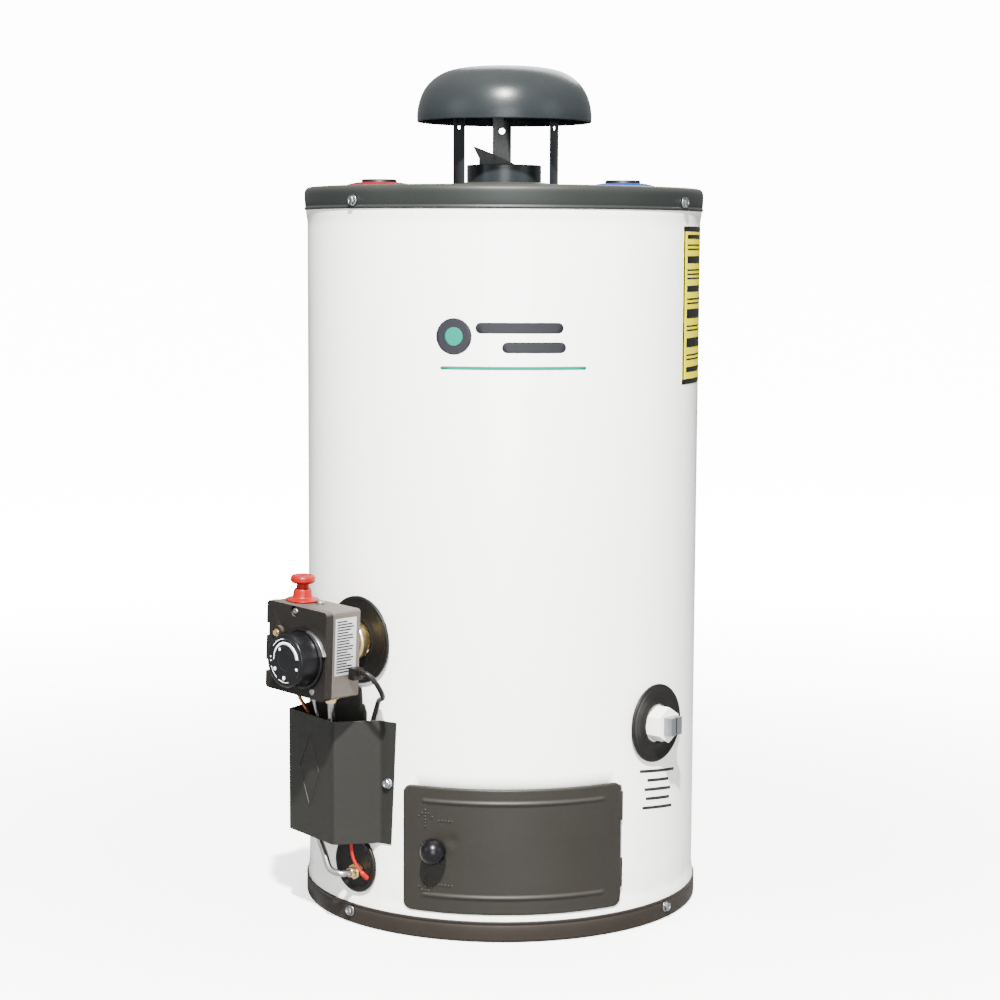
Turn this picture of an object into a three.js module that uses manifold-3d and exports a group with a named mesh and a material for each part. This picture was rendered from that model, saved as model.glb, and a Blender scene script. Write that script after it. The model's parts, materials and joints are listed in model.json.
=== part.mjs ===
// A gas-fired storage water heater of the 38 litre class, in millimetres, +Z up.
// The origin is the middle of the base pan's underside, on the tank's axis.
// An azimuth is a turn in degrees round that axis, from the front (-Y) towards +X.
import * as THREE from "three";
import { mergeVertices } from "three/addons/utils/BufferGeometryUtils.js";
import Module from "manifold-3d";

const wasm = await Module();
wasm.setup();

// ---- Driving dimensions ----

const FIT = 0.3; // gap between pieces that touch
const SHEET = 1; // painted steel sheet
const ROUND = 36; // facets of everything that wraps the tank, so that gaps stay even

// Jacket, base pan and top cover
const JACKET_RADIUS = 195;
const JACKET_FLARE = 1.6;
const FLARE_LENGTH = 14;
const BODY_HEIGHT = 710.5;
const BASE_BAND = 20.2;
const TOP_BAND = 22.2;
const BAND_CLEARANCE = 0.4;
const COVER_CORNER = 7;
const BOSS_RADIUS = 45;
const BOSS_RISE = 5.5;
const AIR_SLOTS = 8;

// The turn in degrees that a length square to the radius takes up on the jacket.
const turnOf = (length) => THREE.MathUtils.radToDeg(Math.asin(length / JACKET_RADIUS));

// Pressure tank, flue and combustion chamber
const TANK_RADIUS = JACKET_RADIUS - 40;
const TANK_WALL = 2.5;
const TANK_BOTTOM = 160;
const HEADSPACE = 33; // from the tank's crown up to the top cover
const HEAD_RISE = 31;
const FLUE_RADIUS = 35.5;
const FLUE_WALL = 2;
const COLLAR_WALL = 1.1;
const COLLAR_RISE = 23;
const BURNER_RADIUS = 60;
const BURNER_HEIGHT = 66;

// Water connections and anode on the top
const HOT_X = 31 - TANK_RADIUS;
const COLD_X = TANK_RADIUS - 37;
const COUPLING_RADIUS = 17.5;
const COUPLING_BORE = 12.2;
const COUPLING_RISE = 8.5;
const DRESS_RING_RADIUS = 36;
const ANODE_OFFSET = TANK_RADIUS - 55;
const ANODE_HEX = 13.5;

// Draught hood
const HOOD_RADIUS = 86.7;
const HOOD_CLEAR = 65; // from the top cover up to the hood's rim
const HOOD_DEPTH = 54.5;
const LEG_CIRCLE = 54;
const LEG_WIDTH = 19;
const LEG_THICKNESS = 1.2;
const LEG_HOLE = 3;
const LEG_AZIMUTHS = [-55, 65, 182.5];

// Access door, its hinge wire and its latch
const DOOR_WIDTH = 206;
const DOOR_EDGE_AZIMUTH = -28.034; // the door's latch edge; it grows towards its hinge
const DOOR_AZIMUTH = DOOR_EDGE_AZIMUTH + turnOf(DOOR_WIDTH / 2);
const DOOR_BOTTOM = 26.5;
const DOOR_HEIGHT = 121;
const DOOR_PROUD = 3;
const DOOR_CORNER = 8;
const DOOR_LAP_SIDE = 11.5;
const DOOR_LAP_END = 4.5;
const RIB_INSET = 14;
const RIB_WIDTH = 5.3;
const HINGE_AZIMUTH = DOOR_AZIMUTH + turnOf(DOOR_WIDTH / 2) - 0.185;
const KNUCKLE_RADIUS = 1.9;
const KNUCKLE_BORE = 1.2;
const HINGE_WIRE = 0.9;
const LATCH_INSET = 32.01; // in from the door's edge
const LATCH_AZIMUTH = DOOR_AZIMUTH - turnOf(DOOR_WIDTH / 2 - LATCH_INSET);
const LATCH_HEIGHT = 89;
const KNOB_RADIUS = 12.4;
const TONGUE_LENGTH = 30;

// Gas control
const VALVE_AZIMUTH = -44;
const VALVE_ROLL = 2.5; // clockwise as screwed home
const SPUD_HEIGHT = 280;
const SPUD_RADIUS = 16;
const HUB_RADIUS = 19.5;
const VALVE_FRONT = 75; // from the jacket out to the cover's face
const VALVE_WIDTH = 84;
const VALVE_TALL = 84;
const VALVE_BODY_DEPTH = 34;
const VALVE_COVER_DEPTH = 8.7;
const VALVE_SIDE_SHIFT = -6.6;
const VALVE_RISE = -2.8;
const DIAL_X = 4.4;
const DIAL_Z = -8;
const DIAL_RADIUS = 25.7;
const DIAL_FACE_RADIUS = 25;
const INDEX_RADIUS = 28.7;
const POINTER_RADIUS = 33.2; // where the index ring's pointer is widest
const POINTER_ARC = [12, 74]; // from its wide end to its narrow end, in degrees
const DIAL_DEPTH = 23;
const BUTTON_X = -26.6;
const BUTTON_INSET = 24.6; // back from the cover's face
const BUTTON_CAP = 11.8;
const BUTTON_STEM = 5.9;
const BUTTON_DEPTH = 7.6;
const BUTTON_TRAVEL = 5;

// Escutcheons, port plate and drain
const VALVE_ESCUTCHEON = 42;
const DRAIN_AZIMUTH = 49.4;
const DRAIN_HEIGHT = 197.6;
const DRAIN_ESCUTCHEON = 38;
const DRAIN_HEX = 15;
const DRAIN_PROUD = 17;
const DRAIN_SQUARE = 17;
const PORT_AZIMUTH = -45.2;
const PORT_HEIGHT = 61;
const PORT_RADIUS = 28.5;
const NUT_AZIMUTH = -44;
const NUT_HEIGHT = 54.5;

// Line guard, and the leads and tubes behind it
const GUARD_BOTTOM = 86;
const GUARD_HEIGHT = 119;
const GUARD_STAND = 33; // from the jacket out to the guard's face
const GUARD_HALF = 40.6;
const GUARD_FOOT = 59.5;
const GUARD_FLANGE = 77;
const GUARD_GAP = 2.308; // from the guard's flange to the door's edge, in degrees
const GUARD_AZIMUTH = DOOR_EDGE_AZIMUTH - turnOf(GUARD_FLANGE) - GUARD_GAP;
const GUARD_SLANT = 2.6; // lean of the flange ends, in degrees
const SUPPLY_RADIUS = 3.2;
const PILOT_RADIUS = 2.2;
const THERMOCOUPLE_RADIUS = 1.7;
const LEAD_RADIUS = 2.4;
const CUTOFF_RADIUS = 1.5;
const LINE_HOLE_HEIGHT = 104;
const LINE_HOLE_RADIUS = 9;

// Sheet-metal screws
const SCREW_HEAD = 4.3;
const SCREW_SHANK = 1.8;
const SCREW_HOLE = 2.4;
const TOP_SCREWS = [-45.5, 60, 134.5, 240];
const BASE_SCREWS = [-47, 54.6, 133, 234.6];
const SCREW_LIFT = 7.5; // from a band's free edge

// ---- Sizes that follow from them ----

const BAND_INNER = JACKET_RADIUS + JACKET_FLARE + BAND_CLEARANCE;
const BAND_OUTER = BAND_INNER + SHEET;
const TOP_EDGE = BODY_HEIGHT - TOP_BAND;
const CROWN = BODY_HEIGHT - HEADSPACE;
const SHOULDER = CROWN - HEAD_RISE;
const COLLAR_INNER = FLUE_RADIUS + 0.4;
const COLLAR_OUTER = COLLAR_INNER + COLLAR_WALL;
const HOOD_RIM = BODY_HEIGHT + HOOD_CLEAR;
const DOOR_RADIUS = JACKET_RADIUS + DOOR_PROUD;
const DOOR_MIDDLE = DOOR_BOTTOM + DOOR_HEIGHT / 2;
const HINGE_RADIUS = JACKET_RADIUS + KNUCKLE_RADIUS + FIT + 0.05;
const KNUCKLES = [DOOR_BOTTOM + 33, DOOR_BOTTOM + 98];
const KNUCKLE_LENGTH = 28;
const VALVE_FACE = JACKET_RADIUS + VALVE_FRONT;
const VALVE_JOINT = VALVE_FACE - VALVE_COVER_DEPTH;
const VALVE_BACK = VALVE_JOINT - FIT - VALVE_BODY_DEPTH;
const VALVE_LEFT = VALVE_SIDE_SHIFT - VALVE_WIDTH / 2;
const VALVE_RIGHT = VALVE_SIDE_SHIFT + VALVE_WIDTH / 2;
const VALVE_TOP = VALVE_RISE + VALVE_TALL / 2;
const VALVE_BASE = VALVE_RISE - VALVE_TALL / 2;
const DRAIN_HOLE = DRAIN_HEX / Math.cos(Math.PI / 6) + 0.8;
const GUARD_FACE = JACKET_RADIUS + GUARD_STAND;
const GUARD_TOP = GUARD_BOTTOM + GUARD_HEIGHT;
const LINE_AZIMUTH = GUARD_AZIMUTH + 2;

const FINISH = {
  enamel: [0xf4f4f2, 0.25, 0],
  coverPaint: [0x464b49, 0.45, 0],
  basePaint: [0x5a5248, 0.5, 0],
  hoodPaint: [0x4a5052, 0.35, 0],
  doorPaint: [0x5a5852, 0.45, 0],
  guardPaint: [0x50504c, 0.5, 0],
  blackPlastic: [0x2b2a28, 0.5, 0],
  dialPlastic: [0x23222a, 0.35, 0],
  valvePaint: [0x3b3733, 0.55, 0],
  castAluminium: [0xb5aea8, 0.5, 0.8],
  bareAluminium: [0xc8c8c6, 0.35, 1],
  zinc: [0xb9bcc0, 0.35, 1],
  brass: [0xb9923f, 0.35, 1],
  copper: [0xb87345, 0.35, 1],
  redPlastic: [0xe8301c, 0.35, 0],
  hotPlastic: [0xe04a55, 0.4, 0],
  coldPlastic: [0x3d7cc9, 0.4, 0],
  redLead: [0xc8202a, 0.5, 0],
  blackLead: [0x26241f, 0.5, 0],
  whitePlastic: [0xe9e7e2, 0.4, 0],
  tankSteel: [0x4c5662, 0.5, 0.3],
  rawSteel: [0x8d8f90, 0.5, 0.9],
  foam: [0xe6d9a8, 0.9, 0],
  magnesium: [0xa9a9a4, 0.6, 0.9],
};

// ---- Shapes ----

const radians = THREE.MathUtils.degToRad;

// A three.js geometry as a manifold-3d solid; a solid passes straight through.
function solid(shape) {
  if (!shape.isBufferGeometry) return shape;
  const loose = shape.index ? shape.toNonIndexed() : shape;
  const bare = new THREE.BufferGeometry();
  bare.setAttribute("position", loose.getAttribute("position"));
  const merged = mergeVertices(bare, 1e-4);
  return new wasm.Manifold(
    new wasm.Mesh({
      numProp: 3,
      vertProperties: merged.attributes.position.array,
      triVerts: new Uint32Array(merged.index.array),
    }),
  );
}

const join = (first, ...rest) => rest.reduce((sum, piece) => sum.add(solid(piece)), solid(first));
const cut = (body, ...tools) => tools.reduce((left, tool) => left.subtract(solid(tool)), solid(body));
const common = (first, second) => solid(first).intersect(solid(second));

function geometryOf(shape) {
  if (shape.isBufferGeometry) return shape;
  const mesh = shape.getMesh();
  const geometry = new THREE.BufferGeometry();
  geometry.setAttribute("position", new THREE.BufferAttribute(mesh.vertProperties, 3));
  geometry.setIndex(new THREE.BufferAttribute(mesh.triVerts, 1));
  return geometry;
}

function piece(name, shape, [color, roughness, metalness]) {
  const material = new THREE.MeshStandardMaterial({ color, roughness, metalness, flatShading: true });
  const mesh = new THREE.Mesh(geometryOf(shape), material);
  mesh.name = name;
  return mesh;
}

// A box between two corners.
function block(x0, x1, y0, y1, z0, z1) {
  const box = new THREE.BoxGeometry(x1 - x0, y1 - y0, z1 - z0);
  return box.translate((x0 + x1) / 2, (y0 + y1) / 2, (z0 + z1) / 2);
}

// A profile of [radius, height] points turned about Z, its outer side listed upwards.
function turned(profile, sides = ROUND) {
  const points = profile.map(([r, z]) => new THREE.Vector2(r, z));
  return new THREE.LatheGeometry(points, sides).rotateX(Math.PI / 2);
}

// A cylinder along Z, and a pipe with a hole through it.
const rod = (radius, from, to, sides = 16) =>
  turned([[0, from], [radius, from], [radius, to], [0, to]], sides);
const pipe = (inner, outer, from, to, sides = ROUND) =>
  turned([[inner, from], [outer, from], [outer, to], [inner, to], [inner, from]], sides);

// Turns what was built along +Z to stand out along -Y, away from the tank's axis.
const outward = (geometry) => geometry.rotateX(Math.PI / 2);

// Turns what was built at the front round the tank to an azimuth.
const swung = (geometry, azimuth) => geometry.rotateZ(radians(azimuth));

// An outline in X and Z, thickened outwards from one distance to another.
function slab(outline, near, far) {
  const body = new THREE.ExtrudeGeometry(outline, {
    depth: far - near,
    bevelEnabled: false,
    curveSegments: 3,
  });
  return outward(body.translate(0, 0, near));
}

// An outline in X and Y (plan), raised from one height to another.
function raised(points, from, to) {
  const outline = new THREE.Shape(points.map(([x, y]) => new THREE.Vector2(x, y)));
  const body = new THREE.ExtrudeGeometry(outline, { depth: to - from, bevelEnabled: false });
  return body.translate(0, 0, from);
}

function roundedRectangle(x0, x1, z0, z1, corner) {
  const shape = new THREE.Shape();
  shape.absarc(x1 - corner, z1 - corner, corner, 0, Math.PI / 2);
  shape.absarc(x0 + corner, z1 - corner, corner, Math.PI / 2, Math.PI);
  shape.absarc(x0 + corner, z0 + corner, corner, Math.PI, 1.5 * Math.PI);
  shape.absarc(x1 - corner, z0 + corner, corner, 1.5 * Math.PI, 2 * Math.PI);
  return shape;
}

function polygonShape(radius, sides, turn = 0) {
  const corner = (k) => turn + (2 * Math.PI * k) / sides;
  const points = Array.from(
    { length: sides },
    (_, k) => new THREE.Vector2(radius * Math.cos(corner(k)), radius * Math.sin(corner(k))),
  );
  return new THREE.Shape(points);
}

// A hexagonal or square bar standing outwards; size is from its axis to a flat.
function barOutward(flat, sides, near, far, x = 0, z = 0) {
  const shape = polygonShape(flat / Math.cos(Math.PI / sides), sides, Math.PI / sides);
  return slab(shape, near, far).translate(x, 0, z);
}

// A round rod standing outwards from one distance to another, at x and z.
const rodOutward = (radius, near, far, x = 0, z = 0, sides = 16) =>
  outward(rod(radius, near, far, sides)).translate(x, 0, z);

// A round bar along a smooth curve through the given points.
function tube(points, radius, steps, sides = 8) {
  const route = new THREE.CatmullRomCurve3(points, false, "centripetal");
  return new THREE.ExtrudeGeometry(polygonShape(radius, sides), {
    steps,
    extrudePath: route,
    bevelEnabled: false,
  });
}

// A group whose -Y points outwards at an azimuth, at a height up the tank.
function station(azimuth, height = 0) {
  const group = new THREE.Group();
  group.rotation.z = radians(azimuth);
  group.position.z = height;
  return group;
}

// The point at x to the right, rho out from the axis and height z, seen from an azimuth.
function spot(azimuth, x, rho, z) {
  return new THREE.Vector3(x, -rho, z).applyAxisAngle(new THREE.Vector3(0, 0, 1), radians(azimuth));
}

// The same for a point of the rolled gas control, with z counted from the spud's axis.
function valveSpot(x, rho, z) {
  const point = new THREE.Vector3(x, -rho, z);
  point.applyAxisAngle(new THREE.Vector3(0, 1, 0), radians(VALVE_ROLL));
  point.z += SPUD_HEIGHT;
  return point.applyAxisAngle(new THREE.Vector3(0, 0, 1), radians(VALVE_AZIMUTH));
}

// ---- Holes that more than one piece shares ----

const screwHole = (azimuth, height) =>
  swung(rodOutward(SCREW_HOLE, JACKET_RADIUS - 6, BAND_OUTER + 4, 0, height, 8), azimuth);
const baseScrewHoles = () => BASE_SCREWS.map((azimuth) => screwHole(azimuth, BASE_BAND - SCREW_LIFT));
const topScrewHoles = () => TOP_SCREWS.map((azimuth) => screwHole(azimuth, TOP_EDGE + SCREW_LIFT));
const wellHole = (x, y, radius) => rod(radius, SHOULDER, BODY_HEIGHT + 9).translate(x, y, 0);
const topWells = (gap) => [
  wellHole(HOT_X, 0, COUPLING_RADIUS + gap),
  wellHole(COLD_X, 0, COUPLING_RADIUS + gap),
  wellHole(0, ANODE_OFFSET, ANODE_HEX),
];
const radialHole = (azimuth, height, radius, near = TANK_RADIUS - 12) =>
  swung(rodOutward(radius, near, BAND_OUTER + 4, 0, height), azimuth);

// ---- Casing ----

function basePan() {
  const slot = (k) => block(-5, 5, 80, 125, -1, SHEET + 1).rotateZ((2 * Math.PI * (k + 0.5)) / AIR_SLOTS);
  const pan = turned([
    [0, 0],
    [BAND_OUTER - 1, 0],
    [BAND_OUTER, 1],
    [BAND_OUTER, BASE_BAND],
    [BAND_INNER, BASE_BAND],
    [BAND_INNER, SHEET],
    [0, SHEET],
  ]);
  const slots = Array.from({ length: AIR_SLOTS }, (_, k) => slot(k));
  return piece("base_pan", cut(pan, ...slots, ...baseScrewHoles()), FINISH.basePaint);
}

const doorOpening = () =>
  swung(
    slab(
      roundedRectangle(
        DOOR_LAP_SIDE - DOOR_WIDTH / 2,
        DOOR_WIDTH / 2 - DOOR_LAP_SIDE,
        DOOR_BOTTOM + DOOR_LAP_END,
        DOOR_BOTTOM + DOOR_HEIGHT - DOOR_LAP_END,
        6,
      ),
      JACKET_RADIUS * 0.7,
      JACKET_RADIUS + 5,
    ),
    DOOR_AZIMUTH,
  );

// The jacket's outer line, which flares under both bands.
function jacketLine() {
  const flared = JACKET_RADIUS + JACKET_FLARE;
  return [
    [flared, SHEET + FIT],
    [flared, BASE_BAND],
    [JACKET_RADIUS, BASE_BAND + FLARE_LENGTH],
    [JACKET_RADIUS, TOP_EDGE - FLARE_LENGTH],
    [flared, TOP_EDGE],
    [flared, BODY_HEIGHT - COVER_CORNER - FIT],
  ];
}

function jacket() {
  const outer = jacketLine();
  const inner = outer.map(([r, z]) => [r - SHEET, z]).reverse();
  const wireHoles = hingeWireEnds().map((z) =>
    swung(rodOutward(HINGE_WIRE + FIT, JACKET_RADIUS - 6, JACKET_RADIUS + 4, 0, z, 8), HINGE_AZIMUTH),
  );
  const shell = cut(
    turned([...outer, ...inner, outer[0]]),
    doorOpening(),
    radialHole(VALVE_AZIMUTH, SPUD_HEIGHT, SPUD_RADIUS + 2),
    radialHole(DRAIN_AZIMUTH, DRAIN_HEIGHT, DRAIN_HOLE),
    radialHole(PORT_AZIMUTH, PORT_HEIGHT, PORT_RADIUS - 6),
    radialHole(LINE_AZIMUTH, LINE_HOLE_HEIGHT, LINE_HOLE_RADIUS),
    ...guardScrewPlaces().map(([azimuth, z]) => screwHole(azimuth, z)),
    ...wireHoles,
    ...baseScrewHoles(),
    ...topScrewHoles(),
  );
  return piece("jacket", shell, FINISH.enamel);
}

function topCover() {
  const boss = BODY_HEIGHT + BOSS_RISE;
  const hole = COLLAR_OUTER + 0.6;
  const cover = turned([
    [BAND_OUTER, TOP_EDGE],
    [BAND_OUTER, BODY_HEIGHT - COVER_CORNER],
    [BAND_OUTER - 0.13 * COVER_CORNER, BODY_HEIGHT - 0.5 * COVER_CORNER],
    [BAND_OUTER - 0.5 * COVER_CORNER, BODY_HEIGHT - 0.13 * COVER_CORNER],
    [BAND_OUTER - COVER_CORNER, BODY_HEIGHT],
    [BOSS_RADIUS + 6, BODY_HEIGHT],
    [BOSS_RADIUS, boss],
    [hole, boss],
    [hole, boss - SHEET],
    [BOSS_RADIUS - 0.5, boss - SHEET],
    [BOSS_RADIUS + 5.5, BODY_HEIGHT - SHEET],
    [BAND_INNER - COVER_CORNER + SHEET, BODY_HEIGHT - SHEET],
    [BAND_INNER, BODY_HEIGHT - COVER_CORNER],
    [BAND_INNER, TOP_EDGE],
    [BAND_OUTER, TOP_EDGE],
  ]);
  return piece("top_cover", cut(cover, ...topWells(0.6), ...topScrewHoles()), FINISH.coverPaint);
}

function insulation() {
  const outer = JACKET_RADIUS - SHEET - 0.5;
  const top = BODY_HEIGHT - SHEET - 3;
  const inner = TANK_RADIUS + 1.2;
  const foam = turned([
    [inner, TANK_BOTTOM - 5],
    [outer, TANK_BOTTOM - 5],
    [outer, top],
    [COLLAR_OUTER + 2, top],
    [COLLAR_OUTER + 2, CROWN + 3],
    [inner, CROWN + 3],
    [inner, TANK_BOTTOM - 5],
  ]);
  const holes = [
    ...topWells(1),
    radialHole(VALVE_AZIMUTH, SPUD_HEIGHT, SPUD_RADIUS + 2),
    radialHole(DRAIN_AZIMUTH, DRAIN_HEIGHT, DRAIN_HOLE),
  ];
  return piece("insulation", cut(foam, ...holes), FINISH.foam);
}

// A hexagon-headed sheet-metal screw through a band or flange, in its own station.
function screw(name, azimuth, height, seat) {
  const place = station(azimuth, height);
  const head = barOutward(SCREW_HEAD, 6, seat + 1.2, seat + 4);
  const flange = rodOutward(SCREW_HEAD + 1, seat, seat + 1.2, 0, 0, 12);
  const shank = rodOutward(SCREW_SHANK, JACKET_RADIUS - SHEET, seat + 1, 0, 0, 8);
  place.add(piece(name, join(shank, flange, head), FINISH.zinc));
  return place;
}

function casingScrews() {
  const seat = BAND_OUTER + FIT;
  return [
    ...TOP_SCREWS.map((a, k) => screw(`top_cover_screw_${k + 1}`, a, TOP_EDGE + SCREW_LIFT, seat)),
    ...BASE_SCREWS.map((a, k) => screw(`base_screw_${k + 1}`, a, BASE_BAND - SCREW_LIFT, seat)),
  ];
}

// ---- Tank, flue and burner ----

function tankShell() {
  const shell = cut(
    pipe(TANK_RADIUS - TANK_WALL, TANK_RADIUS, TANK_BOTTOM, SHOULDER),
    radialHole(VALVE_AZIMUTH, SPUD_HEIGHT, SPUD_RADIUS + 0.5),
    radialHole(DRAIN_AZIMUTH, DRAIN_HEIGHT, DRAIN_HEX - 1),
  );
  return piece("tank_shell", shell, FINISH.tankSteel);
}

// A dished head: an outer line from the rim to the flue, and the same line one wall lower.
function dishedHead(name, rim, foot, rise, ...holes) {
  const bore = FLUE_RADIUS + 0.7;
  const line = [
    [rim, foot],
    [0.96 * rim, foot + 0.45 * rise],
    [0.75 * rim, foot + 0.8 * rise],
    [bore, foot + rise],
  ];
  const lower = [
    [bore, foot + rise - TANK_WALL],
    [0.73 * rim, foot + 0.8 * rise - TANK_WALL],
    [0.96 * rim - TANK_WALL, foot + 0.45 * rise - 1],
    [rim - TANK_WALL, foot],
  ];
  return piece(name, cut(turned([...line, ...lower, line[0]]), ...holes), FINISH.tankSteel);
}

const tankTopHead = () =>
  dishedHead(
    "tank_top_head",
    TANK_RADIUS,
    SHOULDER + FIT,
    HEAD_RISE - FIT,
    ...topWells(0.5),
  );

const tankBottomHead = () =>
  dishedHead("tank_bottom_head", TANK_RADIUS - TANK_WALL - 0.4, TANK_BOTTOM + 1, HEAD_RISE);

function flueTube() {
  const body = pipe(FLUE_RADIUS - FLUE_WALL, FLUE_RADIUS, TANK_BOTTOM + 26, BODY_HEIGHT - 6);
  return piece("flue_tube", body, FINISH.rawSteel);
}

const flueCollar = () =>
  piece(
    "flue_collar",
    pipe(COLLAR_INNER, COLLAR_OUTER, BODY_HEIGHT - 22, BODY_HEIGHT + COLLAR_RISE),
    FINISH.hoodPaint,
  );

// A hanging strip with bent tabs that slow the hot gas; its cut top corner stands out of the collar.
function flueBaffle() {
  const top = BODY_HEIGHT + COLLAR_RISE;
  const reach = FLUE_RADIUS - FLUE_WALL - 8.5;
  const strip = new THREE.Shape(
    [
      [-reach, TANK_BOTTOM + 45],
      [reach, TANK_BOTTOM + 45],
      [reach, top - 3],
      [10, top + 1.5],
      [-12, top + 11.5],
      [-31, top + 19],
      [-26.5, top + 9.5],
      [-reach, top + 7],
    ].map(([x, z]) => new THREE.Vector2(x, z)),
  );
  const pitch = 62;
  const first = TANK_BOTTOM + 62;
  const count = Math.floor((BODY_HEIGHT - 30 - first) / pitch) + 1;
  const tab = (k) =>
    block(-reach + 2, reach - 2, -16, 16, -0.6, 0.6)
      .rotateX(radians(k % 2 ? 38 : -38))
      .translate(0, 0, first + k * pitch);
  const tabs = Array.from({ length: count }, (_, k) => tab(k));
  return piece("flue_baffle", join(slab(strip, -0.7, 0.7), ...tabs), FINISH.rawSteel);
}

const skirtOpening = (azimuth, half, bottom, top) =>
  swung(slab(roundedRectangle(-half, half, bottom, top, 6), TANK_RADIUS * 0.7, TANK_RADIUS + 5), azimuth);

function chamberSkirt() {
  const skirt = cut(
    pipe(TANK_RADIUS - 1.5, TANK_RADIUS, SHEET + FIT, TANK_BOTTOM - FIT),
    skirtOpening(DOOR_AZIMUTH, 72, DOOR_BOTTOM + 12, DOOR_BOTTOM + DOOR_HEIGHT - 12),
    skirtOpening(PORT_AZIMUTH - 3, 24, PORT_HEIGHT - 25, LINE_HOLE_HEIGHT + 14),
  );
  return piece("chamber_skirt", skirt, FINISH.rawSteel);
}

function innerDoor() {
  const near = TANK_RADIUS + FIT;
  const shape = roundedRectangle(-80, 80, DOOR_BOTTOM + 7, DOOR_BOTTOM + DOOR_HEIGHT - 7, 8);
  const outline = swung(slab(shape, near * 0.75, near + 5), DOOR_AZIMUTH);
  const panel = common(pipe(near, near + SHEET, 0, TANK_BOTTOM), outline);
  const sight = swung(rodOutward(11, near * 0.8, near + 5, -34, DOOR_MIDDLE), DOOR_AZIMUTH);
  return piece("inner_door", cut(panel, sight), FINISH.rawSteel);
}

function burner() {
  const z = BURNER_HEIGHT;
  const pan = turned(
    [
      [0, z],
      [BURNER_RADIUS - 4, z],
      [BURNER_RADIUS, z + 4],
      [BURNER_RADIUS, z + 11],
      [BURNER_RADIUS - 6, z + 15],
      [0, z + 15],
    ],
    24,
  );
  const leg = (side) => block(side * 40 - 3, side * 40 + 3, -14, 14, SHEET + FIT, z + 2);
  const feed = swung(rodOutward(5, -6, JACKET_RADIUS + 1, 0, NUT_HEIGHT, 16), NUT_AZIMUTH);
  const riser = rod(9, NUT_HEIGHT - 6, z + 2, 16);
  return piece("burner", join(pan, leg(-1), leg(1), riser, feed), FINISH.rawSteel);
}

function pilotBurner() {
  const near = BURNER_RADIUS + 6;
  const leg = block(-9, 2, -near - 18, -near - 16.5, SHEET + FIT, BURNER_HEIGHT);
  const stand = block(-9, 9, -near - 18, -near - 16.5, BURNER_HEIGHT - 2, BURNER_HEIGHT + 16);
  const shelf = block(-9, 9, -near - 17, -near, BURNER_HEIGHT + 14.5, BURNER_HEIGHT + 16);
  const hood = rod(5, BURNER_HEIGHT + 15, BURNER_HEIGHT + 32, 16).translate(0, -near - 8, 0);
  const place = station(LINE_AZIMUTH);
  place.add(piece("pilot_burner", join(leg, stand, shelf, hood), FINISH.rawSteel));
  return place;
}

function waterConnections() {
  const top = BODY_HEIGHT + COUPLING_RISE;
  const ring = [
    [DRESS_RING_RADIUS, BODY_HEIGHT + FIT],
    [DRESS_RING_RADIUS - 1, BODY_HEIGHT + 2],
    [DRESS_RING_RADIUS - 6, BODY_HEIGHT + 4],
    [COUPLING_RADIUS + 4, BODY_HEIGHT + 5.5],
    [COUPLING_RADIUS + 0.7, BODY_HEIGHT + 5.5],
    [COUPLING_RADIUS + 0.7, BODY_HEIGHT + 4],
    [DRESS_RING_RADIUS - 3, BODY_HEIGHT + FIT],
    [DRESS_RING_RADIUS, BODY_HEIGHT + FIT],
  ];
  const sides = [
    ["hot", HOT_X, FINISH.hotPlastic],
    ["cold", COLD_X, FINISH.coldPlastic],
  ];
  return sides.flatMap(([name, x, finish]) => {
    const coupling = piece(
      `${name}_coupling`,
      pipe(COUPLING_BORE, COUPLING_RADIUS, SHOULDER + 6, top, 24),
      FINISH.blackPlastic,
    );
    const dress = piece(`${name}_ring`, turned(ring, 24), finish);
    coupling.position.x = x;
    dress.position.x = x;
    return [coupling, dress];
  });
}

function dipTube() {
  const body = pipe(7.5, 9.5, TANK_BOTTOM + 55, BODY_HEIGHT - 22, 24);
  const dip = piece("dip_tube", body, FINISH.whitePlastic);
  dip.position.x = COLD_X;
  return dip;
}

function anodeRod() {
  const plug = join(
    rod(8, TANK_BOTTOM + 90, SHOULDER, 16),
    rod(10.4, SHOULDER - 6, BODY_HEIGHT + 1, 16),
    new THREE.ExtrudeGeometry(polygonShape(ANODE_HEX / Math.cos(Math.PI / 6), 6), {
      depth: 5.5,
      bevelEnabled: false,
    }).translate(0, 0, BODY_HEIGHT + FIT),
  );
  const anode = piece("anode_rod", plug, FINISH.magnesium);
  anode.position.y = ANODE_OFFSET;
  return anode;
}

// ---- Draught hood ----

// The hood's outer line, from its rim up to its crown, inset by a distance along its normal.
function hoodLine(inset, count) {
  const line = new THREE.SplineCurve(
    [
      [1, 0],
      [0.99, 0.21],
      [0.925, 0.55],
      [0.785, 0.8],
      [0.58, 0.94],
      [0.3, 0.99],
      [0, 1],
    ].map(([r, z]) => new THREE.Vector2(HOOD_RADIUS * r, HOOD_RIM + HOOD_DEPTH * z)),
  );
  return Array.from({ length: count + 1 }, (_, k) => {
    const point = line.getPoint(k / count);
    const along = line.getTangent(k / count);
    return [Math.max(point.x - along.y * inset, 0), point.y + along.x * inset];
  });
}

function hoodDome() {
  const outer = hoodLine(0, 8);
  const inner = hoodLine(1.6 * SHEET, 5);
  outer[outer.length - 1][0] = 0;
  inner[inner.length - 1][0] = 0;
  inner[0][1] = HOOD_RIM;
  return piece("hood_dome", turned([...outer, ...inner.reverse(), outer[0]]), FINISH.hoodPaint);
}

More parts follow.
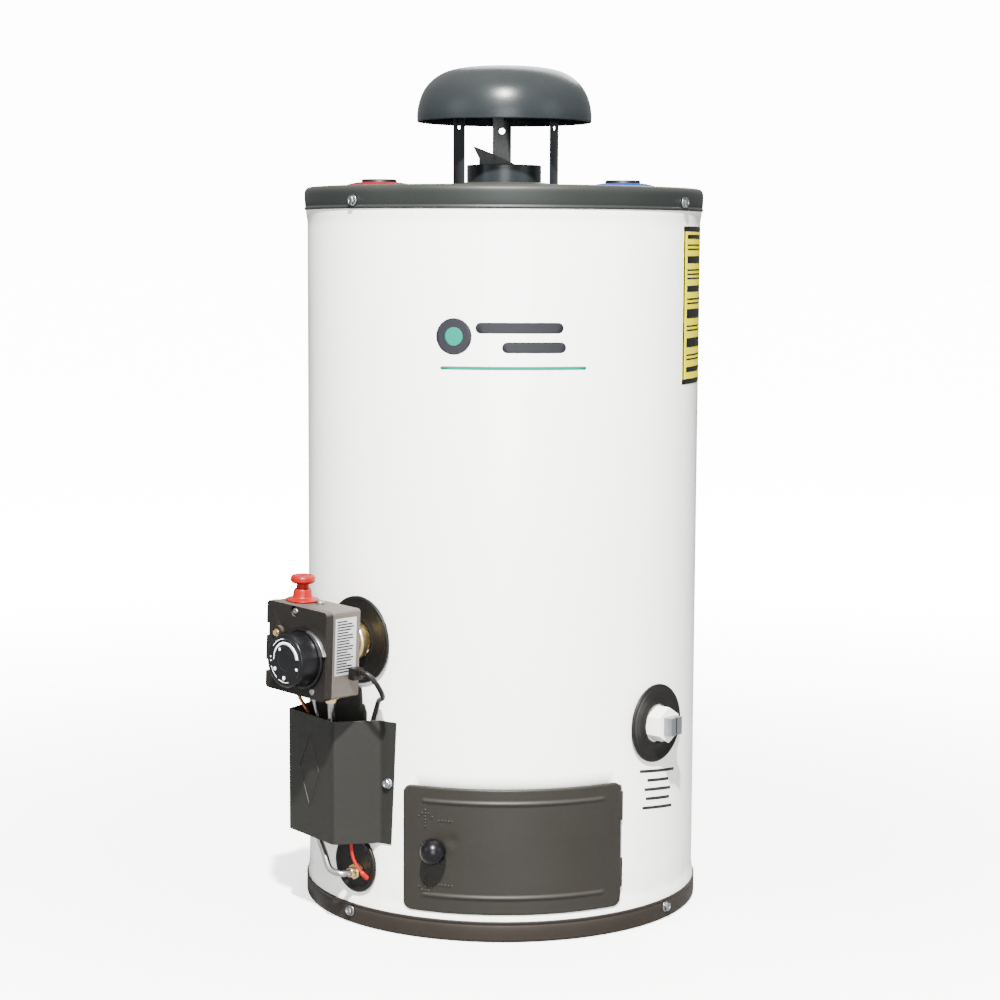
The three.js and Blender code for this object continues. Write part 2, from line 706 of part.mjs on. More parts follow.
// A strip leg: a foot on the cover, an upright, and a tab under the hood's crown.
function hoodLegs() {
  const foot = BODY_HEIGHT + FIT;
  const under = HOOD_RIM + HOOD_DEPTH * 0.87 - SHEET;
  const near = LEG_CIRCLE - LEG_THICKNESS / 2;
  const far = near + LEG_THICKNESS;
  const side = new THREE.Shape(
    [
      [far + 16, foot],
      [far + 16, foot + LEG_THICKNESS],
      [far, foot + LEG_THICKNESS],
      [far, under],
      [far - 16, under + 3],
      [far - 16, under + 3 - LEG_THICKNESS],
      [near, under - LEG_THICKNESS],
      [near, foot],
    ].map(([out, z]) => new THREE.Vector2(out, z)),
  );
  return LEG_AZIMUTHS.map((azimuth, k) => {
    const strip = new THREE.ExtrudeGeometry(side, { depth: LEG_WIDTH, bevelEnabled: false })
      .translate(0, 0, -LEG_WIDTH / 2)
      .rotateX(Math.PI / 2)
      .rotateZ(-Math.PI / 2);
    const hole = rodOutward(LEG_HOLE, near - 2, far + 2, 0, HOOD_RIM - 6, 16);
    const place = station(azimuth);
    place.add(piece(`hood_leg_${k + 1}`, cut(strip, hole), FINISH.hoodPaint));
    return place;
  });
}

// ---- Access door ----

// Where the hinge wire's bent ends go through the jacket.
const hingeWireEnds = () => [KNUCKLES[0] - KNUCKLE_LENGTH / 2 - 6, KNUCKLES[1] + KNUCKLE_LENGTH / 2 + 6];

function accessDoor() {
  const half = DOOR_WIDTH / 2;
  const bottom = DOOR_BOTTOM;
  const top = DOOR_BOTTOM + DOOR_HEIGHT;
  const far = DOOR_RADIUS + 4;
  const front = (x0, x1, z0, z1, corner) =>
    swung(slab(roundedRectangle(x0, x1, z0, z1, corner), JACKET_RADIUS * 0.75, far), DOOR_AZIMUTH);
  const tray = common(
    pipe(JACKET_RADIUS + FIT + 0.1, DOOR_RADIUS, bottom, top),
    front(-half, half, bottom, top, DOOR_CORNER),
  );
  const hollow = common(
    pipe(JACKET_RADIUS - 3, DOOR_RADIUS - SHEET, bottom - 5, top + 5),
    front(SHEET - half, half + 20, bottom + SHEET, top - SHEET, DOOR_CORNER - SHEET),
  );
  const ribHalf = half - 17;
  const rib = (z) =>
    common(
      pipe(DOOR_RADIUS - SHEET / 2, DOOR_RADIUS + 1.2, z - RIB_WIDTH / 2, z + RIB_WIDTH / 2),
      front(-ribHalf, ribHalf, z - 10, z + 10, 3),
    );
  const atHinge = (geometry) => swung(geometry.translate(0, -HINGE_RADIUS, 0), HINGE_AZIMUTH);
  const clearance = atHinge(block(-HINGE_WIRE - FIT, 9, -6, 6, bottom - 5, top + 5));
  const knuckle = (z) => {
    const [from, to] = [z - KNUCKLE_LENGTH / 2, z + KNUCKLE_LENGTH / 2];
    const leaf = block(-4, 0, -DOOR_PROUD + (HINGE_RADIUS - JACKET_RADIUS), -0.4, from, to);
    return join(atHinge(rod(KNUCKLE_RADIUS, from, to, 12)), atHinge(leaf));
  };
  const bore = atHinge(rod(KNUCKLE_BORE, bottom - 5, top + 5, 10));
  const spindleHole = swung(rodOutward(3.5, JACKET_RADIUS - 5, far, 0, LATCH_HEIGHT), LATCH_AZIMUTH);
  const panel = cut(join(cut(tray, hollow), rib(bottom + RIB_INSET + 2.5), rib(top - RIB_INSET)), clearance);
  const line = jacketLine().map(([r, z]) => [r + FIT, z]);
  const skin = turned([[0, line[0][1]], ...line, [0, line[line.length - 1][1]]]);
  const door = cut(join(panel, ...KNUCKLES.map(knuckle)), bore, spindleHole, skin);
  return piece("access_door", door, FINISH.doorPaint);
}

// The wire that the door's knuckles turn on, bent through the jacket at both ends.
function hingeWire() {
  const [low, high] = hingeWireEnds();
  const inside = JACKET_RADIUS - 4.5;
  const corner = 2.2;
  const route = new THREE.CurvePath();
  const at = (rho, z) => new THREE.Vector3(0, -rho, z);
  const line = (from, to) => route.add(new THREE.LineCurve3(from, to));
  const bend = (from, tip, to) => route.add(new THREE.QuadraticBezierCurve3(from, tip, to));
  line(at(inside, low - 8), at(inside, low - corner));
  bend(at(inside, low - corner), at(inside, low), at(inside + corner, low));
  line(at(inside + corner, low), at(HINGE_RADIUS - corner, low));
  bend(at(HINGE_RADIUS - corner, low), at(HINGE_RADIUS, low), at(HINGE_RADIUS, low + corner));
  line(at(HINGE_RADIUS, low + corner), at(HINGE_RADIUS, high - corner));
  bend(at(HINGE_RADIUS, high - corner), at(HINGE_RADIUS, high), at(HINGE_RADIUS - corner, high));
  line(at(HINGE_RADIUS - corner, high), at(inside + corner, high));
  bend(at(inside + corner, high), at(inside, high), at(inside, high + corner));
  line(at(inside, high + corner), at(inside, high + 8));
  const wire = new THREE.ExtrudeGeometry(polygonShape(HINGE_WIRE, 6), { steps: 28, extrudePath: route });
  const place = station(HINGE_AZIMUTH);
  place.add(piece("hinge_wire", wire, FINISH.zinc));
  return place;
}

// Knob, spindle and tongue in one: the tongue points up when unlatched.
function doorLatch() {
  const seat = DOOR_RADIUS + FIT;
  const back = JACKET_RADIUS - 6.5;
  const knob = new THREE.SphereGeometry(KNOB_RADIUS, 12, 8).translate(0, -(seat + 13), 0);
  const neck = rodOutward(5.5, seat, seat + 8);
  const spindle = rodOutward(3, back, seat + 2);
  const tongue = slab(roundedRectangle(-5, 5, -6, TONGUE_LENGTH, 3), back, back + 1.5);
  const place = station(LATCH_AZIMUTH, LATCH_HEIGHT);
  place.add(piece("door_latch", join(knob, neck, spindle, tongue), FINISH.dialPlastic));
  return place;
}

// ---- Escutcheons, drain and port plate ----

// A dished disc that rests flat against the jacket: rim, hollow and a lip round its hole.
function dishedDisc(radius, hole) {
  const seat = JACKET_RADIUS + FIT;
  const profile = [
    [hole, seat],
    [radius, seat],
    [radius, seat + 2.4],
    [radius - 1.2, seat + 3.2],
    [radius - 4, seat + 2.8],
    [hole + 6, seat + 2],
    [hole + 3, seat + 3.4],
    [hole, seat + 3.4],
    [hole, seat],
  ];
  return outward(turned(profile, 24));
}

function drain() {
  const place = station(DRAIN_AZIMUTH, DRAIN_HEIGHT);
  const face = JACKET_RADIUS + DRAIN_PROUD;
  const disc = dishedDisc(DRAIN_ESCUTCHEON, DRAIN_HOLE);
  const shank = rodOutward(DRAIN_HEX - 2, TANK_RADIUS - 8, JACKET_RADIUS);
  const hexagon = barOutward(DRAIN_HEX, 6, JACKET_RADIUS - 2, face);
  const bore = rodOutward(6.4, TANK_RADIUS - 12, face + 2);
  const outlet = rod(3.5, -30, 0).translate(0, 4 - face, 0);
  const stemGrip = barOutward(DRAIN_SQUARE / 2, 4, face + FIT, face + FIT + 9);
  const stemShank = rodOutward(6, face - 28, face + 2);
  const slot = block(-1, 1, -face - 12, -face - 6.5, -DRAIN_SQUARE, DRAIN_SQUARE);
  place.add(
    piece("drain_escutcheon", disc, FINISH.blackPlastic),
    piece("drain_body", cut(join(shank, hexagon), bore, outlet), FINISH.whitePlastic),
    piece("drain_stem", cut(join(stemGrip, stemShank), slot), FINISH.zinc),
  );
  return place;
}

function portPlate() {
  const seat = JACKET_RADIUS + FIT;
  const profile = [
    [0, seat],
    [PORT_RADIUS, seat],
    [PORT_RADIUS, seat + 2.7],
    [PORT_RADIUS - 1.5, seat + 3.7],
    [PORT_RADIUS - 4, seat + 3.3],
    [PORT_RADIUS - 6, seat + 1.6],
    [0, seat + 1.6],
  ];
  const feedHole = rodOutward(5.5, seat - 10, seat + 10, 0, NUT_HEIGHT - PORT_HEIGHT);
  const plate = cut(outward(turned(profile, 24)), swung(feedHole, NUT_AZIMUTH - PORT_AZIMUTH));
  const place = station(PORT_AZIMUTH, PORT_HEIGHT);
  place.add(piece("port_plate", plate, FINISH.blackPlastic));
  return place;
}

function portNut() {
  const near = JACKET_RADIUS + 2.2;
  const nut = join(barOutward(6.8, 6, near, near + 7), rodOutward(5, near + 6, near + 12, 0, 0, 20));
  const bore = rodOutward(SUPPLY_RADIUS + 0.6, near + 3, near + 20, 0, 0, 16);
  const place = station(NUT_AZIMUTH, NUT_HEIGHT);
  place.add(piece("port_nut", cut(nut, bore), FINISH.brass));
  return place;
}

// ---- Gas control ----

function valveMounting() {
  const place = station(VALVE_AZIMUTH, SPUD_HEIGHT);
  const threaded = rodOutward(SPUD_RADIUS, TANK_RADIUS - 5, JACKET_RADIUS + 6);
  const hub = rodOutward(HUB_RADIUS, JACKET_RADIUS + 5, VALVE_BACK - FIT, 0, 0, 24);
  const probe = rodOutward(6, FLUE_RADIUS + 14, TANK_RADIUS - 5 - FIT, 0, 0, 16);
  const disc = dishedDisc(VALVE_ESCUTCHEON, SPUD_RADIUS + 2);
  place.add(
    piece("valve_spud", join(threaded, hub), FINISH.brass),
    piece("thermostat_probe", probe, FINISH.copper),
    piece("valve_escutcheon", disc, FINISH.blackPlastic),
  );
  return place;
}

function valveBody() {
  const inset = 0.5;
  const box = slab(
    roundedRectangle(VALVE_LEFT + inset, VALVE_RIGHT - inset, VALVE_BASE + inset, VALVE_TOP - inset, 3),
    VALVE_BACK,
    VALVE_JOINT - FIT,
  );
  const middle = VALVE_BACK + 16;
  const alongX = (geometry) => geometry.rotateY(-Math.PI / 2);
  const inletAt = (geometry) => alongX(geometry).translate(VALVE_LEFT, -middle, VALVE_RISE - 14);
  const inlet = inletAt(rod(12.5, -3, 10));
  const inletBore = inletAt(rod(8, -12, 12));
  const buttonWell = rod(BUTTON_STEM + 0.5, VALVE_TOP - 14, VALVE_TOP + 2);
  buttonWell.translate(BUTTON_X, BUTTON_INSET - VALVE_FACE, 0);
  return piece("valve_body", cut(join(box, inlet), inletBore, buttonWell), FINISH.castAluminium);
}

function valveCover() {
  const notch = (low, high, depth) =>
    block(VALVE_LEFT - 2, VALVE_LEFT + depth, -VALVE_FACE - 1, -VALVE_JOINT + 1, low, high);
  const plate = slab(
    roundedRectangle(VALVE_LEFT, VALVE_RIGHT, VALVE_BASE, VALVE_TOP, 4),
    VALVE_JOINT,
    VALVE_FACE,
  );
  const boss = rodOutward(6.5, VALVE_FACE - 1, VALVE_FACE + 4, VALVE_LEFT + 19.5, VALVE_RISE + 14);
  const plugWell = rodOutward(4, VALVE_FACE - 4, VALVE_FACE + 6, VALVE_LEFT + 19.5, VALVE_RISE + 14);
  const screwWell = rodOutward(5, VALVE_FACE - 3, VALVE_FACE + 2, VALVE_SIDE_SHIFT - 3, VALVE_TOP - 5);
  const cover = cut(
    join(plate, boss),
    notch(VALVE_RISE + 8, VALVE_RISE + 20, 3.5),
    notch(VALVE_RISE - 26, VALVE_RISE - 15, 5),
    plugWell,
    screwWell,
  );
  return piece("valve_cover", cover, FINISH.valvePaint);
}

function valveDial() {
  const near = VALVE_FACE + FIT;
  const body = outward(
    turned(
      [
        [0, near],
        [DIAL_RADIUS, near],
        [DIAL_RADIUS, near + 5],
        [DIAL_FACE_RADIUS + 1, near + DIAL_DEPTH - 2],
        [DIAL_FACE_RADIUS - 1, near + DIAL_DEPTH],
        [0, near + DIAL_DEPTH],
      ],
      32,
    ),
  );
  const dial = piece("dial", body, FINISH.dialPlastic);
  dial.position.set(DIAL_X, 0, DIAL_Z);
  return dial;
}

// The ring round the dial's foot, with the wedge that the dial is read against.
function dialIndex() {
  const near = VALVE_FACE + FIT;
  const [wide, narrow] = POINTER_ARC.map(THREE.MathUtils.degToRad);
  const middle = (DIAL_RADIUS + FIT + INDEX_RADIUS) / 2;
  const rim = (share, radius) => {
    const turn = wide + (narrow - wide) * share;
    return new THREE.Vector2(radius * Math.cos(turn), radius * Math.sin(turn));
  };
  const shares = [0, 0.25, 0.5, 0.75, 1];
  const outer = shares.map((k) => rim(k, POINTER_RADIUS - (POINTER_RADIUS - INDEX_RADIUS) * k));
  const inner = shares.map((k) => rim(1 - k, middle));
  const pointer = slab(new THREE.Shape([...outer, ...inner]), near, near + 3.5);
  const ring = pipe(DIAL_RADIUS + FIT, INDEX_RADIUS, near, near + 3.5, 32);
  const index = piece("dial_index", join(outward(ring), pointer), FINISH.bareAluminium);
  index.position.set(DIAL_X, 0, DIAL_Z);
  return index;
}

function pilotButton() {
  const top = VALVE_TOP + FIT;
  const collarTop = top + 11;
  const cap = collarTop + BUTTON_TRAVEL + 0.5;
  const collar = piece(
    "button_collar",
    turned(
      [
        [BUTTON_STEM + 0.5, top],
        [16, top],
        [16, top + 1.6],
        [9.5, top + 2.6],
        [8.2, collarTop],
        [BUTTON_STEM + 0.5, collarTop],
        [BUTTON_STEM + 0.5, top],
      ],
      24,
    ),
    FINISH.redPlastic,
  );
  const button = piece(
    "pilot_button",
    turned(
      [
        [0, top - 6],
        [BUTTON_STEM, top - 6],
        [BUTTON_STEM, cap],
        [BUTTON_CAP - 2, cap],
        [BUTTON_CAP, cap + 2],
        [BUTTON_CAP, cap + BUTTON_DEPTH - 2],
        [BUTTON_CAP - 2, cap + BUTTON_DEPTH],
        [0, cap + BUTTON_DEPTH],
      ],
      24,
    ),
    FINISH.redPlastic,
  );
  [collar, button].forEach((mesh) => mesh.position.set(BUTTON_X, BUTTON_INSET - VALVE_FACE, 0));
  return [collar, button];
}

function testPlug() {
  const x = VALVE_LEFT + 19.5;
  const z = VALVE_RISE + 14;
  const plug = join(
    rodOutward(3.5, VALVE_FACE - 4 + FIT, VALVE_FACE + 5, x, z, 16),
    barOutward(2.4, 6, VALVE_FACE + 4, VALVE_FACE + 7, x, z),
  );
  return piece("test_plug", plug, FINISH.brass);
}

function ecoConnector() {
  const x = VALVE_RIGHT - 0.5 + FIT;
  const body = join(
    block(x, x + 8, -VALVE_BACK - 14, -VALVE_BACK - 2, VALVE_RISE - 24, VALVE_RISE - 13),
    block(x + 4, x + 12, -VALVE_BACK - 11, -VALVE_BACK - 5, VALVE_RISE - 20, VALVE_RISE - 14),
  );
  return piece("eco_connector", body, FINISH.blackLead);
}

function gasControl() {
  const place = station(VALVE_AZIMUTH, SPUD_HEIGHT);
  const rolled = new THREE.Group();
  rolled.rotation.y = radians(VALVE_ROLL);
  rolled.add(valveBody(), valveCover(), valveDial(), dialIndex());
  rolled.add(...pilotButton(), testPlug(), ecoConnector());
  place.add(rolled);
  return place;
}

// ---- Line guard and lines ----

// Half the guard's section in plan, as x and distance from the tank's axis.
function guardSection(inset) {
  const face = GUARD_FACE - inset;
  const half = GUARD_HALF - inset * 0.55;
  const seat = JACKET_RADIUS + FIT + SHEET - inset;
  const outAt = (x) => Math.sqrt(seat * seat - x * x);
  return [
    [half, face],
    [GUARD_FOOT - inset * 0.6, outAt(GUARD_FOOT)],
    [GUARD_FOOT + (GUARD_FLANGE - GUARD_FOOT) / 2, outAt(GUARD_FOOT + (GUARD_FLANGE - GUARD_FOOT) / 2)],
    [GUARD_FLANGE, outAt(GUARD_FLANGE)],
  ];
}

// The screws that hold the guard's two flanges, as azimuth and height.
function guardScrewPlaces() {
  const middle = (GUARD_FOOT + GUARD_FLANGE) / 2;
  const turn = (Math.asin(middle / JACKET_RADIUS) * 180) / Math.PI;
  const height = GUARD_BOTTOM + GUARD_HEIGHT / 2;
  return [-turn, turn].map((step) => [GUARD_AZIMUTH + step, height]);
}

function lineGuard() {
  const outer = guardSection(0);
  const inner = guardSection(SHEET);
  const mirrored = (side) => side.map(([x, rho]) => [-x, rho]).reverse();
  const ring = [...mirrored(outer), ...outer, ...[...inner].reverse(), ...mirrored(inner).reverse()];
  const sheet = raised(
    ring.map(([x, rho]) => [x, -rho]),
    GUARD_BOTTOM,
    GUARD_TOP,
  );
  const middle = GUARD_BOTTOM + GUARD_HEIGHT / 2;
  const slant = (side) =>
    block(-10, 10, -JACKET_RADIUS - 20, -JACKET_RADIUS / 2, -GUARD_HEIGHT, GUARD_HEIGHT)
      .translate(side * 10, 0, 0)
      .rotateY(radians(side * GUARD_SLANT))
      .translate(side * (GUARD_FLANGE - 3), 0, middle);
  const holes = guardScrewPlaces().map(([azimuth, z]) =>
    swung(rodOutward(SCREW_HOLE, JACKET_RADIUS - 6, JACKET_RADIUS + 6, 0, z, 8), azimuth - GUARD_AZIMUTH),
  );
  const place = station(GUARD_AZIMUTH);
  place.add(piece("line_guard", cut(sheet, slant(1), slant(-1), ...holes), FINISH.guardPaint));
  return place;
}

// A flat plate between the guard and the jacket, stepped on its right, rising behind the gas control.
function guardBracket() {
  const near = JACKET_RADIUS + 1;
  const top = SPUD_HEIGHT - VALVE_ESCUTCHEON - 3;
  const outline = new THREE.Shape(
    [
      [-50, GUARD_BOTTOM + 42],
      [51, GUARD_BOTTOM + 42],
      [51, GUARD_TOP + 8],
      [47, GUARD_TOP + 15],
      [44, GUARD_TOP + 15],
      [42, top],
      [-46, top],
      [-46, GUARD_TOP + 10],
    ].map(([x, z]) => new THREE.Vector2(x, z)),
  );
  const place = station(GUARD_AZIMUTH);
  place.add(piece("guard_bracket", slab(outline, near, near + SHEET), FINISH.guardPaint));
  return place;
}

function guardScrews() {
  return guardScrewPlaces().map(([azimuth, z], k) =>
    screw(`guard_screw_${k + 1}`, azimuth, z, JACKET_RADIUS + 2 * FIT + SHEET + 0.4),
  );
}

// Burner supply: out of the gas control, down behind the guard, and round into the port nut.
function supplyTube() {
  const points = [
    valveSpot(8, VALVE_BACK + 10, VALVE_BASE - FIT),
    valveSpot(7, VALVE_BACK + 9, VALVE_BASE - 12),
    spot(GUARD_AZIMUTH, 27, GUARD_FACE - 6.5, GUARD_TOP - 4),
    spot(GUARD_AZIMUTH, 18, GUARD_FACE - 6.5, GUARD_TOP - 35),
    spot(GUARD_AZIMUTH, 2, GUARD_FACE - 6.5, GUARD_TOP - 80),
    spot(GUARD_AZIMUTH, -2, GUARD_FACE - 11, GUARD_BOTTOM - 2),
    spot(NUT_AZIMUTH, -27, JACKET_RADIUS + 22, NUT_HEIGHT + 16),
    spot(NUT_AZIMUTH, -14, JACKET_RADIUS + 26, NUT_HEIGHT + 3),
    spot(NUT_AZIMUTH, -3, JACKET_RADIUS + 22.5, NUT_HEIGHT),
    spot(NUT_AZIMUTH, 0, JACKET_RADIUS + 16, NUT_HEIGHT),
    spot(NUT_AZIMUTH, 0, JACKET_RADIUS + 11, NUT_HEIGHT),
    spot(NUT_AZIMUTH, 0, JACKET_RADIUS + 6, NUT_HEIGHT),
  ];
  return piece("supply_tube", tube(points, SUPPLY_RADIUS, 32, 6), FINISH.bareAluminium);
}

// The pilot gas tube and the thermocouple go through one hole in the jacket to the pilot burner.
function pilotLine(name, radius, start, side, finish) {
  const near = BURNER_RADIUS + 24 + FIT + 0.1;
  const points = [
    valveSpot(start, VALVE_BACK + 8, VALVE_BASE - FIT),
    valveSpot(start, VALVE_BACK + 7, VALVE_BASE - 11),
    spot(GUARD_AZIMUTH, 2 * start / 3 + 17, GUARD_FACE - 7, GUARD_TOP - 3),
    spot(GUARD_AZIMUTH, start / 3 + 2, GUARD_FACE - 17, GUARD_TOP - 30),
    spot(LINE_AZIMUTH, side * 1.5, GUARD_FACE - 20, LINE_HOLE_HEIGHT + 22),
    spot(LINE_AZIMUTH, side, JACKET_RADIUS + 8, LINE_HOLE_HEIGHT + 3),
    spot(LINE_AZIMUTH, side, JACKET_RADIUS - 6, LINE_HOLE_HEIGHT),
    spot(LINE_AZIMUTH, side, TANK_RADIUS - 10, LINE_HOLE_HEIGHT - 10),
    spot(LINE_AZIMUTH, side, near + 20, BURNER_HEIGHT + 7),
    spot(LINE_AZIMUTH, side, near, BURNER_HEIGHT + 6),
  ];
  return piece(name, tube(points, radius, 28, 6), finish);
}

// The energy cut-off's black lead, from its plug on the gas control to a splice behind the guard.
function ecoLead() {
  const corner = GUARD_FOOT - 6.3; // inside the guard's fold, just clear of the jacket
  const behind = Math.sqrt((JACKET_RADIUS + LEAD_RADIUS + 0.7) ** 2 - corner ** 2);
  const points = [
    valveSpot(VALVE_RIGHT + 12.8, VALVE_BACK + 8, VALVE_RISE - 17),
    valveSpot(VALVE_RIGHT + 17, VALVE_BACK + 7, VALVE_RISE - 16.5),
    valveSpot(VALVE_RIGHT + 24, VALVE_BACK + 2, VALVE_RISE - 24),
    valveSpot(VALVE_RIGHT + 24, VALVE_BACK - 8, VALVE_RISE - 38),
    spot(GUARD_AZIMUTH, corner + 12.5, behind + 2, GUARD_TOP + 20),
    spot(GUARD_AZIMUTH, corner + 6, behind + 0.8, GUARD_TOP + 10),
    spot(GUARD_AZIMUTH, corner + 0.5, behind, GUARD_TOP),
    spot(GUARD_AZIMUTH, corner, behind, GUARD_TOP - 10),
    spot(GUARD_AZIMUTH, corner, behind, GUARD_TOP - 30),
    spot(GUARD_AZIMUTH, corner - 0.5, behind + 0.2, GUARD_TOP - 55),
  ];
  return piece("eco_lead", tube(points, LEAD_RADIUS, 24, 6), FINISH.blackLead);
}

// The cut-off's red lead, from the splice out under the guard to the port plate's edge.
function cutoffLead() {
  const points = [
    spot(GUARD_AZIMUTH, 53, JACKET_RADIUS - 4, GUARD_TOP - 56),
    spot(GUARD_AZIMUTH, 52, JACKET_RADIUS - 2, GUARD_TOP - 82),
    spot(GUARD_AZIMUTH, 42, JACKET_RADIUS + 12, GUARD_BOTTOM + 8),
    spot(PORT_AZIMUTH, 11, JACKET_RADIUS + 15, PORT_HEIGHT + 10),
    spot(PORT_AZIMUTH, 17, JACKET_RADIUS + 10, PORT_HEIGHT - 4),
    spot(PORT_AZIMUTH, 19.5, JACKET_RADIUS + 4.6, PORT_HEIGHT - 11),
  ];
  return piece("cutoff_lead", tube(points, CUTOFF_RADIUS, 22, 6), FINISH.redLead);
}

// ---- The heater ----

const waterHeater = new THREE.Group();
waterHeater.name = "tank_water_heater";
waterHeater.add(
  basePan(),
  jacket(),
  topCover(),
  insulation(),
  ...casingScrews(),
  tankShell(),
  tankTopHead(),
  tankBottomHead(),
  flueTube(),
  flueCollar(),
  flueBaffle(),
  chamberSkirt(),
  innerDoor(),
  burner(),
  pilotBurner(),
  dipTube(),
  anodeRod(),
  ...waterConnections(),
  hoodDome(),
  ...hoodLegs(),
  accessDoor(),
  hingeWire(),
  doorLatch(),
  drain(),
  portPlate(),
  portNut(),
  valveMounting(),
  gasControl(),
  lineGuard(),
  guardBracket(),
  ...guardScrews(),
  supplyTube(),
  pilotLine("pilot_tube", PILOT_RADIUS, -19, 4, FINISH.bareAluminium),
  pilotLine("thermocouple_lead", THERMOCOUPLE_RADIUS, -42, -4, FINISH.copper),
  ecoLead(),
  cutoffLead(),
);

export default waterHeater;
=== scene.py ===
"""A gas storage water heater of the 38 litre class in a plain studio."""
import json
import math

import bmesh
import bpy
import numpy as np
from mathutils import Matrix, Vector
from mathutils.geometry import delaunay_2d_cdt


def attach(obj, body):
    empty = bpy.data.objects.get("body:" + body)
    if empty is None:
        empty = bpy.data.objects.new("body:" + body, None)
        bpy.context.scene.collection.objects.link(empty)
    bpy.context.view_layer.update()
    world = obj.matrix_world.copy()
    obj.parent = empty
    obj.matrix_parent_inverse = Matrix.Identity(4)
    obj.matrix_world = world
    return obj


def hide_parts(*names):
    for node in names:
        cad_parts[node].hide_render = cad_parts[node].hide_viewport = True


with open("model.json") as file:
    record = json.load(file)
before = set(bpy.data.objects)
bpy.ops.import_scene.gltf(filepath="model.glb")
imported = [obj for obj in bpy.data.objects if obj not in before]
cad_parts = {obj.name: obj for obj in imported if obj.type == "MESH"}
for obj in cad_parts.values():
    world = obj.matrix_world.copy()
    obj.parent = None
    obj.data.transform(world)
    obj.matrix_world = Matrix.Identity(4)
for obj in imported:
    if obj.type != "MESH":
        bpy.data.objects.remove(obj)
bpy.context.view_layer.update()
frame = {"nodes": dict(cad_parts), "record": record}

# ---- Sizes in millimetres, shared by the pieces below ----

JACKET = 195.0
BAND = 198.0
BODY_HEIGHT = 710.5
BASE_BAND = 20.2
TOP_EDGE = 688.3
FLARE = 1.6
FLAT = 185.0
BOSS_FOOT = 53.0
BOSS = 45.0
BOSS_RISE = 5.5
HOT_X = -124.0
COLD_X = 118.0
ANODE_Y = 100.0
DOOR_AZIMUTH = 3.85
DOOR_HALF = 103.0
DOOR_LOW = 26.5
DOOR_TALL = 121.0
DOOR_FACE = 198.0
HINGE_AZIMUTH = 35.55
HINGE_RHO = 197.25
LATCH_AZIMUTH = -17.5
LATCH_Z = 89.0
VALVE_AZIMUTH = -44.0
VALVE_ROLL = 2.5
SPUD_Z = 280.0
VALVE_FACE = 270.0
VALVE_BACK = 227.0
VALVE_LEFT = -48.6
VALVE_RIGHT = 35.4
VALVE_TOP = 39.2
VALVE_BASE = -44.8
DIAL_X = 4.4
DIAL_Z = -8.0
BUTTON_X = -26.6
BUTTON_RHO = 245.4
DRAIN_AZIMUTH = 49.4
DRAIN_Z = 197.6
PORT_AZIMUTH = -45.2
PORT_Z = 61.0
NUT_AZIMUTH = -44.0
NUT_Z = 54.5
GUARD_AZIMUTH = -53.6
GUARD_LOW = 86.0
GUARD_TALL = 119.0
GUARD_FACE = 228.0
GUARD_HALF = 40.6
GUARD_FOOT = 59.5
GUARD_FLANGE = 77.0
GUARD_TOP = GUARD_LOW + GUARD_TALL
LINE_AZIMUTH = GUARD_AZIMUTH + 2
LINE_HOLE_Z = 104.0
BURNER_Z = 66.0
TOP_SCREWS = (-45.5, 60, 134.5, 240)
BASE_SCREWS = (-47, 54.6, 133, 234.6)
GAP = 0.3
ON_JACKET = JACKET + GAP
METRE = 0.001
BACKDROP_GLOW = 14.0


# ---- Places ----

class Place:
    """A local frame: X and Y lie across a piece and Z is the way it stands out."""

    def __init__(self, origin=(0, 0, 0), axes=((1, 0, 0), (0, 1, 0), (0, 0, 1))):
        self.origin = np.array(origin, float)
        self.axes = np.array(axes, float)

    def __call__(self, points):
        """Local points as points of the whole heater."""
        return self.origin + np.asarray(points, float) @ self.axes

    def moved(self, x=0, y=0, z=0):
        return Place(self((x, y, z)), self.axes)

    def rolled(self, degrees):
        """The same place turned clockwise about its own Z, seen from outside."""
        c, s = math.cos(math.radians(degrees)), math.sin(math.radians(degrees))
        return Place(self.origin, np.array([[c, -s, 0], [s, c, 0], [0, 0, 1]]) @ self.axes)


UPRIGHT = Place()


def facing(azimuth, height=0):
    """A place on the tank's axis whose Z points outwards at an azimuth, X right and Y up."""
    a = math.radians(azimuth)
    right, out = (math.cos(a), math.sin(a), 0), (math.sin(a), -math.cos(a), 0)
    return Place((0, 0, height), (right, (0, 0, 1), out))


VALVE = facing(VALVE_AZIMUTH, SPUD_Z).rolled(VALVE_ROLL)


def spot(azimuth, x, rho, z):
    """One point, x to the right and rho out from the axis as an azimuth sees it."""
    return facing(azimuth)((x, z, rho))


def wrapped(azimuth, arc, z, rho):
    """Points on a drum: arc is a length round it from an azimuth, z a height, rho a radius."""
    a = math.radians(azimuth) + np.asarray(arc) / JACKET
    z, rho = np.broadcast_to(z, a.shape), np.broadcast_to(rho, a.shape)
    return np.stack([rho * np.sin(a), -rho * np.cos(a), z], -1)


# ---- Surfaces ----

def shifted(r, z, profile):
    """A profile of (radius, height) points, counted from r and z."""
    return [(r + x, z + y) for x, y in profile]


def eased(t):
    """0 to 1 with level ends: 3 t^2 - 2 t^3."""
    return t * t * (3 - 2 * t)


def corner_steps(radius, count):
    """Distances from an end, r (1 - cos t), that step evenly round a quarter circle."""
    return radius * (1 - np.cos(np.linspace(0, math.pi / 2, count)))


def corner_cut(near, radius):
    """How far a round corner pulls a side in at distance d from the end: r - sqrt(r^2 - (r - d)^2)."""
    return radius - np.sqrt(np.maximum(radius**2 - (radius - near) ** 2, 0))


